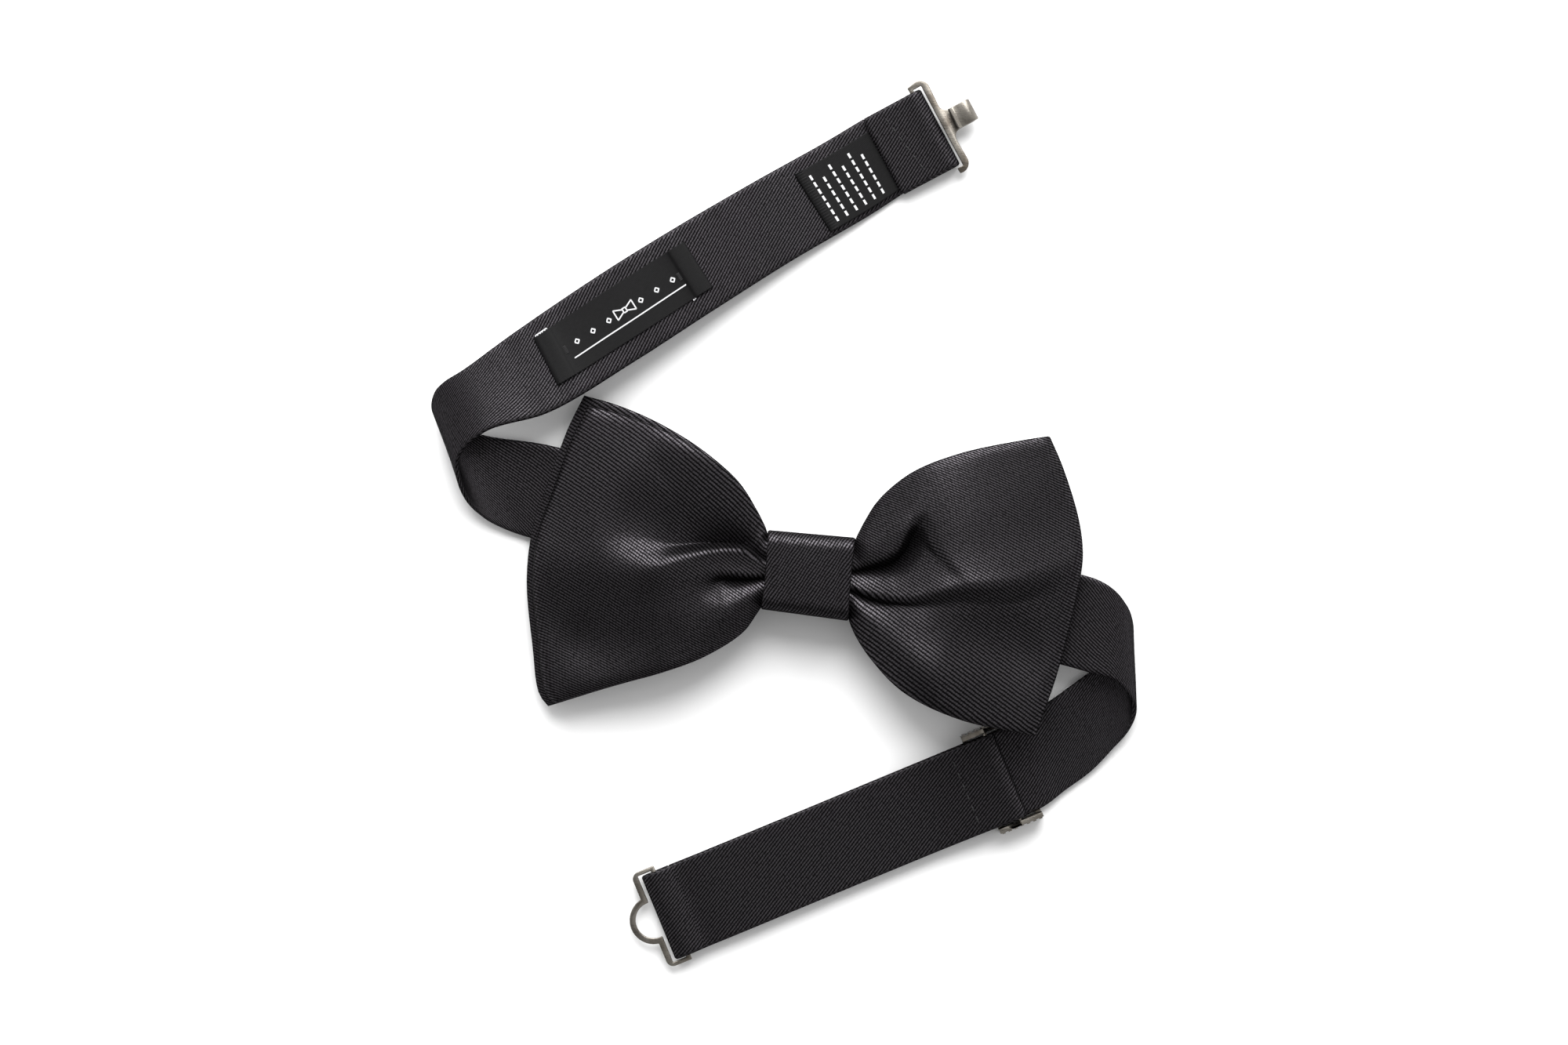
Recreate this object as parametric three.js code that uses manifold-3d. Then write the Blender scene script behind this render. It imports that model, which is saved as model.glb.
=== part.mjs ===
// A pre-tied satin bow tie on an adjustable neckband, laid flat as it comes out of its box.
// Millimetres. +X runs along the bow, +Y up the bow, +Z out of its front.
// The origin is the middle of the knot's flat back.
import * as THREE from 'three';
import { mergeVertices } from 'three/addons/utils/BufferGeometryUtils.js';
import Module from 'manifold-3d';

const wasm = await Module();
wasm.setup();

// ---- driving dimensions ----
const GAP = 0.3; // clearance kept between touching pieces
const SATIN = 1.0; // satin folded over its interlining
const LABEL = 0.4; // woven label
const LABEL_GAP = 0.4; // under a label, where the band curves
const THREAD = 0.6; // the binding's thick thread, diameter
const STITCH = { thread: 0.4, dip: 0.2 }; // a sewn row's thread, and how far it dips in and out
const PLATE = 0.7; // stamped steel

const KNOT = { width: 18.9, height: 17.8, depth: 14.9, wrap: 0.8, lining: 0.4 };
const KNOT_FRONT_RADIUS = 4;
const KNOT_BACK_RADIUS = 2;
const KNOT_SEAM = { y: -4.9, gap: 1.6 }; // where the wrap's two ends meet on the back

// Heights of the layers inside the knot, from the back to the front.
const BACK_PIECE_Z = 4.5;
const LOOP_BACK_Z = 5.8;
const LOOP_FRONT_Z = 10.2;
const BUNDLE_HALF = 6; // half the height of the pinched layers

// Each wing: its outline from the knot outwards, its heights at the outer edge.
const WINGS = {
  left: {
    side: -1,
    top: [[0, 5.7], [5, 5.7], [9.4, 6], [11.1, 9.2], [12.6, 13], [16.4, 18.2], [24.4, 23.9],
      [33.3, 28], [42, 30.6], [49.6, 32]],
    bottom: [[0, -5.7], [5, -5.7], [9.4, -6], [11.2, -9.2], [13, -13.2], [20.5, -19], [28.7, -23],
      [40.2, -27.4], [51.4, -32]],
    outer: [[51.4, -32], [53.6, -29.4], [55.8, -19.7], [58.2, -6.3], [58, 3.9], [55.8, 12.6],
      [52.5, 24.8], [49.6, 32]],
    backPieceZ: 3.3,
    loopBackZ: 4.7,
    backPieceGrowth: 0.035,
  },
  right: {
    side: 1,
    top: [[0, 5.7], [5, 5.7], [9.4, 6], [11.2, 9.6], [13.9, 17.4], [20, 23.6], [29.7, 28.6],
      [42.9, 32.7], [48.2, 34]],
    bottom: [[0, -5.7], [5, -5.7], [9.4, -6], [11.4, -9.8], [15.2, -16.6], [22.3, -22.8],
      [34.7, -27.6], [50.8, -29.8]],
    outer: [[50.8, -29.8], [54.6, -14.3], [57.4, 5.6], [57.3, 10.7], [55.8, 17.3], [51.8, 27.2],
      [48.2, 34]],
    backPieceZ: 8.8,
    loopBackZ: 10.2,
    backPieceGrowth: -0.025,
  },
};
const KNOT_SHARE = 0.17; // share of a wing's length that the knot hides
const LOOP_HALF_GAP = 2.4; // half the space between the loop's two plies at the outer fold
const WING_LENGTH = 50;
const CROWN = { height: 5.5, peak: 1.05, edgeFall: 0.55 }; // how the front ply puffs out in mid-wing
// The ridge that the knot presses into the front ply, and how it swells and fades along the wing.
const PLEAT = { height: 1, swell: 1.6, swellOver: 0.14, fadeFrom: 0.3, fadeOver: 0.45, edgeDip: 1.2 };

// The neckband from the hook end to the eye end: matching points on its two long edges.
// After the two lying folds the band's front face points down.
const NECKBAND = [
  { south: [13.3, 83.8, 0.7], north: [3.4, 99.1, 0.7] },
  { south: [6.6, 78.5, 1], north: [-4.6, 93.3, 1] },
  { south: [-9.2, 67.2, 2.6], north: [-20.5, 82.3, 2.7] },
  { south: [-25.2, 54.8, 4.8], north: [-37, 70.4, 4.9] },
  { south: [-41, 42.3, 7.2], north: [-52.8, 58.2, 7] },
  { south: [-58.2, 29.8, 10], north: [-67.8, 45.7, 8.2] },
  { south: [-71.2, 24.7, 11], north: [-77.3, 37.2, 8.6] },
  { south: [-76.4, 19, 9.6], north: [-81.2, 34.4, 8] },
  { south: [-76.3, 14.1, 7.4], north: [-83.2, 32, 6.6] },
  { south: [-74, 9.3, 4.8], north: [-83.2, 28.6, 4.6] },
  { south: [-70.5, 6.1, 2.8], north: [-79.3, 25.6, 2.4] },
  { south: [-65.1, 3.8, 1.7], north: [-71.5, 23.9, 1.4] },
  { south: [-58.1, 2.2, 1.3], north: [-58.5, 23.1, 1.3] },
  { south: [-40, -1.4, 1.4], north: [-37, 18.9, 1.4] },
  { south: [-24, -4.6, 1.9], north: [-21, 14.2, 1.9] },
  { south: [-9.6, -6.6, 2.35], north: [-9.6, 6.8, 2.35] },
  { south: [0, -6.8, 2.35], north: [0, 6.8, 2.35] },
  { south: [9.6, -6.8, 2.35], north: [9.6, 6.6, 2.35] },
  { south: [23, -11, 3.2], north: [25, 8.6, 3.2] },
  { south: [40, -13, 5.2], north: [42, 6.8, 5.2] },
  { south: [54.8, -14.3, 7], north: [58.2, 5.3, 7] },
  { south: [61.5, -15.5, 7.5], north: [63, 4.1, 7.3] },
  { south: [67.5, -16.7, 7.4], north: [66.8, 1.6, 6.8] },
  { south: [72.2, -22, 5.2], north: [69.6, -2.5, 5] },
  { south: [71.9, -27, 3], north: [70.3, -7, 2.8] },
  { south: [68.6, -32, 1.7], north: [67, -11.9, 1.6] },
  { south: [64.4, -37.2, 1.3], north: [62.2, -15.7, 1.3] },
  { south: [59.6, -41.3, 1.3], north: [53.4, -23.3, 1.3] },
];
const STATION = { hookEnd: 0, leftFoldTop: 5.2, leftFoldBottom: 12, rightFoldTop: 20, rightFoldBottom: 26 };

// The two fastener ends, each a straight run with x outwards along the strap.
const HOOK_END = { x: 19.6, y: 98.5, heading: 33 };
const EYE_END = { x: -24.4, y: -75.9, heading: 207.5 };
const HOOK_HALF_WIDTH = 9.2;
const EYE_HALF_WIDTH = 9.7;
const BAR = { x: -1.45, width: 1, clearance: 0.95 }; // the fastener's bar that the strap turns round
const END_LOOP_RADIUS = BAR.clearance + SATIN / 2;
const HOOK_BAR_Z = 0.6 + END_LOOP_RADIUS;

const ADJUSTER = { x: -78.7, length: 10, plate: 1, top: 5.3, barZ: 4.5, barRadius: 0.5 };
const ADJUSTER_INNER_HALF = EYE_HALF_WIDTH + 0.5;
const ADJUSTER_HEM = 9.5; // from the adjuster's bar to the end of the hem sewn round it
const SLIDING_PLY_Z = 1.8; // the ply that runs through the adjuster

// The labels: from one station of the neckband to another, between two shares of its width.
const BRAND_LABEL = { from: 2.88, to: 4.78, low: 0.22, high: 0.815 };
const CARE_LABEL = { from: 0.06, to: 1.5, low: 0.06, high: 0.84 };
const HOOK_HEM = { reach: 13, seamX: -8.2 }; // from the hook's fold to the hem's edge and to its seam
const HEM_SEAM_HALF = 7.5; // half the length of the seam across each hem

const COLOURS = { satin: 0x262529, lining: 0x3a3a3c, label: 0x1b1a1d, thread: 0x141416, steel: 0xb7ada2 };

// ---- helpers ----
const smooth = (t) => THREE.MathUtils.smoothstep(t, 0, 1);
const vec = (values) => new THREE.Vector3(...values);
const radians = THREE.MathUtils.degToRad;

function mesh(name, geometry, colour, metal = 0) {
  const material = new THREE.MeshStandardMaterial({ color: colour, roughness: 0.55, metalness: metal });
  const piece = new THREE.Mesh(geometry, material);
  piece.name = name;
  return piece;
}

function normalAt(point, s, v) {
  const step = 1e-3;
  const along = point(Math.min(s + step, 1), v).sub(point(Math.max(s - step, 0), v));
  const across = point(s, Math.min(v + step, 1)).sub(point(s, Math.max(v - step, 0)));
  return along.cross(across).normalize();
}

// A closed sheet of even thickness. point(s, v) gives its middle surface for s and v from 0 to 1,
// and offset moves the sheet to one side of that surface.
function sheet(point, lengthSteps, widthSteps, thickness, offset = 0) {
  const positions = [];
  const index = [];
  const row = widthSteps + 1;
  const layer = (lengthSteps + 1) * row;
  for (const side of [1, -1]) {
    for (let i = 0; i <= lengthSteps; i++) {
      for (let j = 0; j <= widthSteps; j++) {
        const s = i / lengthSteps;
        const v = j / widthSteps;
        const lift = offset + (side * thickness) / 2;
        positions.push(...point(s, v).addScaledVector(normalAt(point, s, v), lift).toArray());
      }
    }
  }
  const quad = (a, b, c, d) => index.push(a, b, c, a, c, d);
  for (let i = 0; i < lengthSteps; i++) {
    for (let j = 0; j < widthSteps; j++) {
      const a = i * row + j;
      quad(a, a + row, a + row + 1, a + 1);
      quad(layer + a, layer + a + 1, layer + a + row + 1, layer + a + row);
    }
  }
  for (let i = 0; i < lengthSteps; i++) {
    const low = i * row;
    const high = low + widthSteps;
    quad(low, layer + low, layer + low + row, low + row);
    quad(high, high + row, layer + high + row, layer + high);
  }
  for (let j = 0; j < widthSteps; j++) {
    const end = lengthSteps * row + j;
    quad(j, j + 1, layer + j + 1, layer + j);
    quad(end, layer + end, layer + end + 1, end + 1);
  }
  const geometry = new THREE.BufferGeometry();
  geometry.setAttribute('position', new THREE.Float32BufferAttribute(positions, 3));
  geometry.setIndex(index);
  return geometry;
}

function toManifold(geometry) {
  const bare = geometry.clone();
  bare.deleteAttribute('normal');
  bare.deleteAttribute('uv');
  const merged = mergeVertices(bare, 1e-5);
  const vertProperties = new Float32Array(merged.attributes.position.array);
  const triVerts = new Uint32Array(merged.index.array);
  return new wasm.Manifold(new wasm.Mesh({ numProp: 3, vertProperties, triVerts }));
}

function fromManifold(solid) {
  const result = solid.getMesh();
  const geometry = new THREE.BufferGeometry();
  geometry.setAttribute('position', new THREE.BufferAttribute(result.vertProperties.slice(), 3));
  geometry.setIndex(new THREE.BufferAttribute(result.triVerts.slice(), 1));
  return geometry;
}

const join = (pieces) => fromManifold(pieces.map(toManifold).reduce((sum, piece) => sum.add(piece)));

function box(sizeX, sizeY, sizeZ, x, y, z) {
  return new THREE.BoxGeometry(sizeX, sizeY, sizeZ).translate(x, y, z);
}

function endFrame({ x, y, heading }) {
  const frame = new THREE.Group();
  frame.position.set(x, y, 0);
  frame.rotation.z = radians(heading);
  return frame;
}

// A strap that keeps its width while its middle line follows profile, a list of [x, z] points.
function strapAlong(profile, halfWidth, steps, thickness = SATIN) {
  const path = new THREE.CatmullRomCurve3(profile.map(([x, z]) => new THREE.Vector3(x, 0, z)));
  const point = (s, v) => path.getPointAt(s).setY(THREE.MathUtils.lerp(-halfWidth, halfWidth, v));
  return sheet(point, steps, 2, thickness);
}

// A thread row that dips in and out as running stitches do.
function stitchRow(from, to, stitches, dip = STITCH.dip) {
  const points = [];
  const steps = stitches * 2;
  for (let i = 0; i <= steps; i++) {
    const place = vec(from).lerp(vec(to), i / steps);
    place.z += i % 2 === 0 ? dip / 2 : -dip / 2;
    points.push(place);
  }
  return cord(new THREE.CatmullRomCurve3(points), steps, STITCH.thread);
}

function cord(path, steps, thickness) {
  const section = new THREE.Shape();
  const sides = 6;
  for (let i = 0; i < sides; i++) {
    const angle = (i / sides) * Math.PI * 2;
    const x = (Math.cos(angle) * thickness) / 2;
    const y = (Math.sin(angle) * thickness) / 2;
    if (i === 0) section.moveTo(x, y);
    else section.lineTo(x, y);
  }
  return new THREE.ExtrudeGeometry(section, { steps, extrudePath: path, bevelEnabled: false });
}

// ---- the knot ----
// The corners of the knot's outline at some depth under its outside: each a centre in Y and Z and a radius,
// in order from the seam up the back, over the front and down again.
function knotCorners(depth) {
  const half = KNOT.height / 2 - depth;
  const frontRadius = KNOT_FRONT_RADIUS - depth;
  const backRadius = Math.max(KNOT_BACK_RADIUS - depth, 0.1);
  const frontZ = KNOT.depth - depth - frontRadius;
  const backZ = depth + backRadius;
  return [
    { y: half - backRadius, z: backZ, radius: backRadius },
    { y: half - frontRadius, z: frontZ, radius: frontRadius },
    { y: -half + frontRadius, z: frontZ, radius: frontRadius },
    { y: -half + backRadius, z: backZ, radius: backRadius },
  ];
}

// One turn of cloth seen along the bow: a ring in Y and Z that lies in from the knot's outside and is
// open at the seam, so that its two ends face each other there.
function knotRing(inset, thickness, width) {
  const quarter = Math.PI / 2;
  const innerBack = inset + thickness;
  const seamLow = KNOT_SEAM.y - KNOT_SEAM.gap / 2;
  const seamHigh = KNOT_SEAM.y + KNOT_SEAM.gap / 2;
  const ring = new THREE.Shape();
  ring.moveTo(seamHigh, innerBack);
  ring.lineTo(seamHigh, inset);
  knotCorners(inset).forEach(({ y, z, radius }, i) => {
    ring.absarc(y, z, radius, (i - 1) * quarter, i * quarter);
  });
  ring.lineTo(seamLow, inset);
  ring.lineTo(seamLow, innerBack);
  knotCorners(innerBack).reverse().forEach(({ y, z, radius }, i) => {
    ring.absarc(y, z, radius, (3 - i) * quarter, (2 - i) * quarter, true);
  });
  const geometry = new THREE.ExtrudeGeometry(ring, { depth: width, bevelEnabled: false, curveSegments: 6 });
  geometry.translate(0, 0, -width / 2);
  // The shape's x and y become the bow's Y and Z, and its depth runs along X.
  geometry.applyMatrix4(new THREE.Matrix4().set(0, 0, 1, 0, 1, 0, 0, 0, 0, 1, 0, 0, 0, 0, 0, 1));
  return geometry;
}

// Thread wound round the pinched layers before the knot's wrap goes on: a helix of rounded oblongs.
function bindingThread() {
  const turns = 3;
  const pitch = 1.1;
  const corner = { front: 2, back: 0.8 };
  const half = { y: BUNDLE_HALF + GAP + THREAD / 2 + 0.2, z: 4.65 };
  const middle = 8.1;
  const points = [];
  const place = (turn, y, z) => points.push(new THREE.Vector3((turn - turns / 2) * pitch, y, middle + z));
  for (let arc = 0; arc < turns * 4; arc++) {
    const quarter = ((arc + 0.5) * Math.PI) / 2;
    const sideY = Math.sign(Math.cos(quarter));
    const sideZ = Math.sign(Math.sin(quarter));
    const radius = sideZ > 0 ? corner.front : corner.back;
    for (const share of [0.15, 0.4, 0.6, 0.85]) {
      const angle = ((arc + share) * Math.PI) / 2;
      const y = sideY * (half.y - radius) + Math.cos(angle) * radius;
      const z = sideZ * (half.z - radius) + Math.sin(angle) * radius;
      place((arc + share) / 4, y, z);
    }
    const end = ((arc + 1) * Math.PI) / 2;
    place((arc + 1) / 4, Math.cos(end) * half.y, Math.sin(end) * half.z);
  }
  return cord(new THREE.CatmullRomCurve3(points), turns * 24, THREAD);
}

// ---- the bow ----
// A wing seen from the front: (u, v) to x and y, with u from the knot's middle outwards and v upwards.
function wingPlan(wing) {
  const curve = (points) => new THREE.CatmullRomCurve3(points.map(([x, y]) => new THREE.Vector3(x, y, 0)));
  const top = curve(wing.top);
  const bottom = curve(wing.bottom);
  const outer = curve(wing.outer);
  const corners = [bottom.getPointAt(0), top.getPointAt(0), bottom.getPointAt(1), top.getPointAt(1)];
  return (u, v) => {
    const inner = corners[0].clone().lerp(corners[1], v);
    const between = bottom.getPointAt(u).lerp(top.getPointAt(u), v);
    const outwards = inner.clone().lerp(outer.getPointAt(v), u);
    const flat = inner.lerp(corners[2].clone().lerp(corners[3], v), u);
    const place = between.add(outwards).sub(flat);
    place.x *= wing.side;
    return place;
  };
}

const outwardShare = (u) => smooth((u - KNOT_SHARE) / (1 - KNOT_SHARE));

// The pleats that the knot presses into the front ply: a middle ridge between two valleys.
function pleats(u, v) {
  const across = 2 * v - 1;
  const grown = PLEAT.height + PLEAT.swell * smooth((u - KNOT_SHARE) / PLEAT.swellOver);
  const faded = 1 - smooth((u - PLEAT.fadeFrom) / PLEAT.fadeOver);
  const dipped = PLEAT.edgeDip * across * across * (1 - outwardShare(u));
  return grown * faded * Math.cos(across * Math.PI * 2) - dipped;
}

function wingHeights(wing, u, v) {
  const share = outwardShare(u);
  const across = 2 * v - 1;
  const back = THREE.MathUtils.lerp(LOOP_BACK_Z, wing.loopBackZ, share);
  const puffed = Math.sin(Math.PI * Math.min(share * CROWN.peak, 1));
  const rise = CROWN.height * puffed * (1 - CROWN.edgeFall * across * across);
  const flat = THREE.MathUtils.lerp(LOOP_FRONT_Z, wing.loopBackZ + 2 * LOOP_HALF_GAP, share);
  return { back, front: flat + rise + pleats(u, v) };
}

// Half of the bow's one long strip: w runs from the join at the back, out along the back ply, round the
// outer fold, and along the front ply to the middle of the knot.
function loopHalf(wing, plan) {
  const foldStart = 0.375;
  const foldEnd = 0.5625;
  const flatShare = 1 - LOOP_HALF_GAP / WING_LENGTH;
  const joinGap = 0.006;
  return (w, v) => {
    if (w <= foldStart) {
      const u = THREE.MathUtils.lerp(joinGap, flatShare, w / foldStart);
      return plan(u, v).setZ(wingHeights(wing, u, v).back);
    }
    if (w >= foldEnd) {
      const u = flatShare * ((1 - w) / (1 - foldEnd));
      return plan(u, v).setZ(wingHeights(wing, u, v).front);
    }
    const angle = THREE.MathUtils.mapLinear(w, foldStart, foldEnd, -Math.PI / 2, Math.PI / 2);
    const { back, front } = wingHeights(wing, flatShare, v);
    const z = (front + back) / 2 + ((front - back) / 2) * Math.sin(angle);
    return plan(flatShare + (1 - flatShare) * Math.cos(angle), v).setZ(z);
  };
}

function bowLoop(plans) {
  const left = loopHalf(WINGS.left, plans.left);
  const right = loopHalf(WINGS.right, plans.right);
  const point = (s, v) => (s <= 0.5 ? left(2 * s, v) : right(2 - 2 * s, v));
  return sheet(point, 64, 14, SATIN);
}

// The stiff interlining that lies against the inside of a front ply.
function stiffener(wing, plan) {
  const covered = { from: 0.32, to: 0.87, low: 0.08, high: 0.92 };
  const front = (s, v) => {
    const u = THREE.MathUtils.lerp(covered.from, covered.to, s);
    const across = THREE.MathUtils.lerp(covered.low, covered.high, v);
    return plan(u, across).setZ(wingHeights(wing, u, across).front);
  };
  const thickness = 0.5;
  const clearance = 0.7;
  const depth = SATIN / 2 + clearance + thickness / 2;
  return sheet(front, 10, 10, thickness, -wing.side * depth);
}

function backPiece(plans) {
  const point = (s, v) => {
    const wing = s < 0.5 ? WINGS.left : WINGS.right;
    const plan = s < 0.5 ? plans.left : plans.right;
    const u = Math.abs(2 * s - 1);
    const share = outwardShare(u);
    const place = plan(u, v).multiplyScalar(1 + wing.backPieceGrowth * share);
    return place.setZ(THREE.MathUtils.lerp(BACK_PIECE_Z, wing.backPieceZ, share));
  };
  return sheet(point, 24, 8, SATIN);
}

// ---- the neckband ----
const eyeAxes = endFrame(EYE_END);
eyeAxes.updateMatrixWorld();
const onEyeRun = (x, y, z) => eyeAxes.localToWorld(new THREE.Vector3(x, y, z)).toArray();

// The band's last stretch runs straight under the adjuster to the eye.
const STRAIGHT_STATIONS = [
  { x: -84, z: SLIDING_PLY_Z },
  { x: -72, z: SLIDING_PLY_Z },
  { x: -60, z: 0.9 },
  { x: -5, z: 0.6 },
];
for (const { x, z } of STRAIGHT_STATIONS) {
  NECKBAND.push({ south: onEyeRun(x, EYE_HALF_WIDTH, z), north: onEyeRun(x, -EYE_HALF_WIDTH, z) });
}
const LAST_STATION = NECKBAND.length - 1;
const SLIDE_STATION = LAST_STATION - 3;

const southEdge = new THREE.CatmullRomCurve3(NECKBAND.map((station) => vec(station.south)));
const northEdge = new THREE.CatmullRomCurve3(NECKBAND.map((station) => vec(station.north)));

function bandPoint(station, v) {
  const t = THREE.MathUtils.clamp(station / LAST_STATION, 0, 1);
  return southEdge.getPoint(t).lerp(northEdge.getPoint(t), v);
}

// A stretch of the band between two stations, drawn back at each end so that the next stretch clears it.
function bandStretch(from, to, lengthSteps) {
  const step = 0.01;
  const drawnBack = GAP * 0.6;
  const stationsPerMillimetre = (station) => {
    const travel = (v) => bandPoint(station + step, v).distanceTo(bandPoint(station - step, v));
    return (2 * step) / Math.min(travel(0), travel(0.5), travel(1));
  };
  const start = from + drawnBack * stationsPerMillimetre(Math.max(from, step));
  const end = to - drawnBack * stationsPerMillimetre(Math.min(to, LAST_STATION - step));
  return sheet((s, v) => bandPoint(THREE.MathUtils.lerp(start, end, s), v), lengthSteps, 3, SATIN);
}

// A label lying on the band's upturned inner face.
function labelOnBand({ from, to, low, high }) {
  const point = (s, v) => bandPoint(THREE.MathUtils.lerp(from, to, s), THREE.MathUtils.lerp(low, high, v));
  return sheet(point, 8, 2, LABEL, -(SATIN / 2 + LABEL_GAP + LABEL / 2));
}

// A short bar of close stitches across one end of the brand label.
function labelTack(station) {
  const middle = (BRAND_LABEL.low + BRAND_LABEL.high) / 2;
  const half = 0.06;
  const lift = SATIN / 2 + LABEL_GAP + LABEL + GAP + THREAD / 2;
  const point = (v) => bandPoint(station, v);
  const face = normalAt((s, v) => bandPoint(station - 0.1 + 0.2 * s, v), 0.5, middle);
  const from = point(middle - half).addScaledVector(face, -lift).toArray();
  const to = point(middle + half).addScaledVector(face, -lift).toArray();
  return stitchRow(from, to, 4, 0.1);
}

// ---- the hook end, in its own frame ----
// The strap turns back round the fastener's bar; hem is where its upper ply ends.
function endLoop(barZ, lowZ, startX, hemZ, hemX, halfWidth) {
  const radius = END_LOOP_RADIUS;
  const profile = [[startX, lowZ], [startX / 2, (lowZ + barZ - radius) / 2]];
  const turns = 6;
  for (let i = 0; i <= turns; i++) {
    const angle = -Math.PI / 2 + (i / turns) * Math.PI;
    profile.push([BAR.x + Math.cos(angle) * radius, barZ + Math.sin(angle) * radius]);
  }
  profile.push([(BAR.x * 2 + hemX) / 3, (barZ + radius) * 0.6 + hemZ * 0.4]);
  profile.push([hemX, hemZ]);
  return strapAlong(profile, halfWidth, 30);
}

function plateFrom(shape, z) {
  const settings = { depth: PLATE, bevelEnabled: false, curveSegments: 10 };
  return new THREE.ExtrudeGeometry(shape, settings).translate(0, 0, z - PLATE / 2);
}

const cut = (solid, tool) => fromManifold(toManifold(solid).subtract(toManifold(tool)));

const BAR_FROM = BAR.x - BAR.width / 2;
const BAR_TO = BAR.x + BAR.width / 2;

function hookPlate() {
  const ear = { x: 0.3, y: 8.8, radius: 2.2, back: 10.6 };
  const tongueHalf = 2.4;
  const neck = { from: 2.3, to: 4.4, rounding: 2 };
  const outline = new THREE.Shape();
  outline.moveTo(BAR_FROM, -ear.back);
  outline.absarc(ear.x, -ear.y, ear.radius, -Math.PI * 0.6, 0);
  outline.lineTo(neck.from, -tongueHalf - neck.rounding);
  outline.quadraticCurveTo(neck.from, -tongueHalf, neck.to, -tongueHalf);
  outline.lineTo(neck.to, tongueHalf);
  outline.quadraticCurveTo(neck.from, tongueHalf, neck.from, tongueHalf + neck.rounding);
  outline.absarc(ear.x, ear.y, ear.radius, 0, Math.PI * 0.6);
  outline.lineTo(BAR_FROM, ear.back);
  outline.closePath();
  const slot = { from: BAR_TO, to: 0.95, halfWidth: HOOK_HALF_WIDTH + 0.5 };
  const slotX = (slot.from + slot.to) / 2;
  const slotCutter = box(slot.to - slot.from, slot.halfWidth * 2, PLATE * 2, slotX, 0, HOOK_BAR_Z);
  const plate = cut(plateFrom(outline, HOOK_BAR_Z), slotCutter);
  // The tongue runs on, turns up and back over itself, and ends in a small raised lip.
  const turn = { x: 7.2, radius: 1.05 };
  const profile = [[3.8, 0], [5.6, 0], [turn.x, 0]];
  for (const angle of [-45, 0, 45]) {
    profile.push([turn.x + Math.cos(radians(angle)) * turn.radius,
      turn.radius + Math.sin(radians(angle)) * turn.radius]);
  }
  profile.push([turn.x, turn.radius * 2], [5.6, 2], [4.4, 1.9], [3.6, 2.5]);
  const raised = profile.map(([x, z]) => [x, z + HOOK_BAR_Z]);
  return join([plate, strapAlong(raised, tongueHalf, 24, PLATE)]);
}

function hookEnd() {
  const frame = endFrame(HOOK_END);
  const hemZ = 2.7;
  const loop = endLoop(HOOK_BAR_Z, 0.7, -HOOK_HEM.reach, hemZ, -HOOK_HEM.reach, HOOK_HALF_WIDTH);
  frame.add(mesh('hook_end_loop', loop, COLOURS.satin));
  frame.add(mesh('hook_plate', hookPlate(), COLOURS.steel, 1));
  const stitchZ = 4.1;
  const seamEnd = (side) => [HOOK_HEM.seamX, side * HEM_SEAM_HALF, stitchZ];
  const seam = stitchRow(seamEnd(-1), seamEnd(1), 8);
  frame.add(mesh('hook_hem_stitches', seam, COLOURS.thread));
  return frame;
}

// ---- the eye end, in its own frame ----
function eyePlate() {
  const corner = { x: 1.8, y: 9.3, radius: 1.6 };
  const loop = { x: 2.5, outer: 5.2, inner: 3.9 };
  const stripTo = corner.x + corner.radius;
  const stripFrom = stripTo - 1.3;
  const outerAngle = Math.acos((stripTo - loop.x) / loop.outer);
  const innerAngle = Math.acos((stripFrom - loop.x) / loop.inner);
  const edge = corner.y + corner.radius;
  const outline = new THREE.Shape();
  outline.moveTo(BAR_FROM, -edge);
  outline.lineTo(corner.x, -edge);
  outline.absarc(corner.x, -corner.y, corner.radius, -Math.PI / 2, 0);
  outline.absarc(loop.x, 0, loop.outer, -outerAngle, outerAngle);
  outline.absarc(corner.x, corner.y, corner.radius, 0, Math.PI / 2);
  outline.lineTo(BAR_FROM, edge);
  outline.closePath();
  const inside = edge - 0.9;
  const hole = new THREE.Path();
  hole.moveTo(BAR_TO, -inside);
  hole.lineTo(stripFrom, -inside);
  hole.absarc(loop.x, 0, loop.inner, -innerAngle, innerAngle);
  hole.lineTo(stripFrom, inside);
  hole.lineTo(BAR_TO, inside);
  hole.closePath();
  outline.holes.push(hole);
  return plateFrom(outline, HOOK_BAR_Z);
}

// The adjuster: knurled side plates joined by two flat end bars, with a round bar through its middle.
function adjusterFrame() {
  const { x, length, plate, top, barZ, barRadius } = ADJUSTER;
  const wallY = ADJUSTER_INNER_HALF + plate / 2;
  const rib = { count: 7, length: 0.7, depth: 0.5, shortfall: 0.6 };
  const endBar = { length: 1.2, width: ADJUSTER_INNER_HALF * 2 + plate, thickness: 1 };
  const pieces = [];
  for (const side of [-1, 1]) {
    pieces.push(box(length, plate, top, x, side * wallY, top / 2));
    for (let i = 0; i < rib.count; i++) {
      const place = x + ((i + 0.5) / rib.count - 0.5) * length;
      const outside = side * (wallY + plate / 2);
      pieces.push(box(rib.length, rib.depth, top - rib.shortfall, place, outside, top / 2));
    }
    const barX = x + (side * (length - endBar.length)) / 2;
    pieces.push(box(endBar.length, endBar.width, endBar.thickness, barX, 0, endBar.thickness / 2));
  }
  const bore = new THREE.CylinderGeometry(barRadius + GAP, barRadius + GAP, wallY * 4, 16);
  bore.translate(x, 0, barZ);
  return cut(join(pieces), bore);
}

function adjusterBar() {
  const { x, barZ, barRadius, plate } = ADJUSTER;
  const length = (ADJUSTER_INNER_HALF + plate) * 2;
  return new THREE.CylinderGeometry(barRadius, barRadius, length, 12).translate(x, 0, barZ);
}

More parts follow.
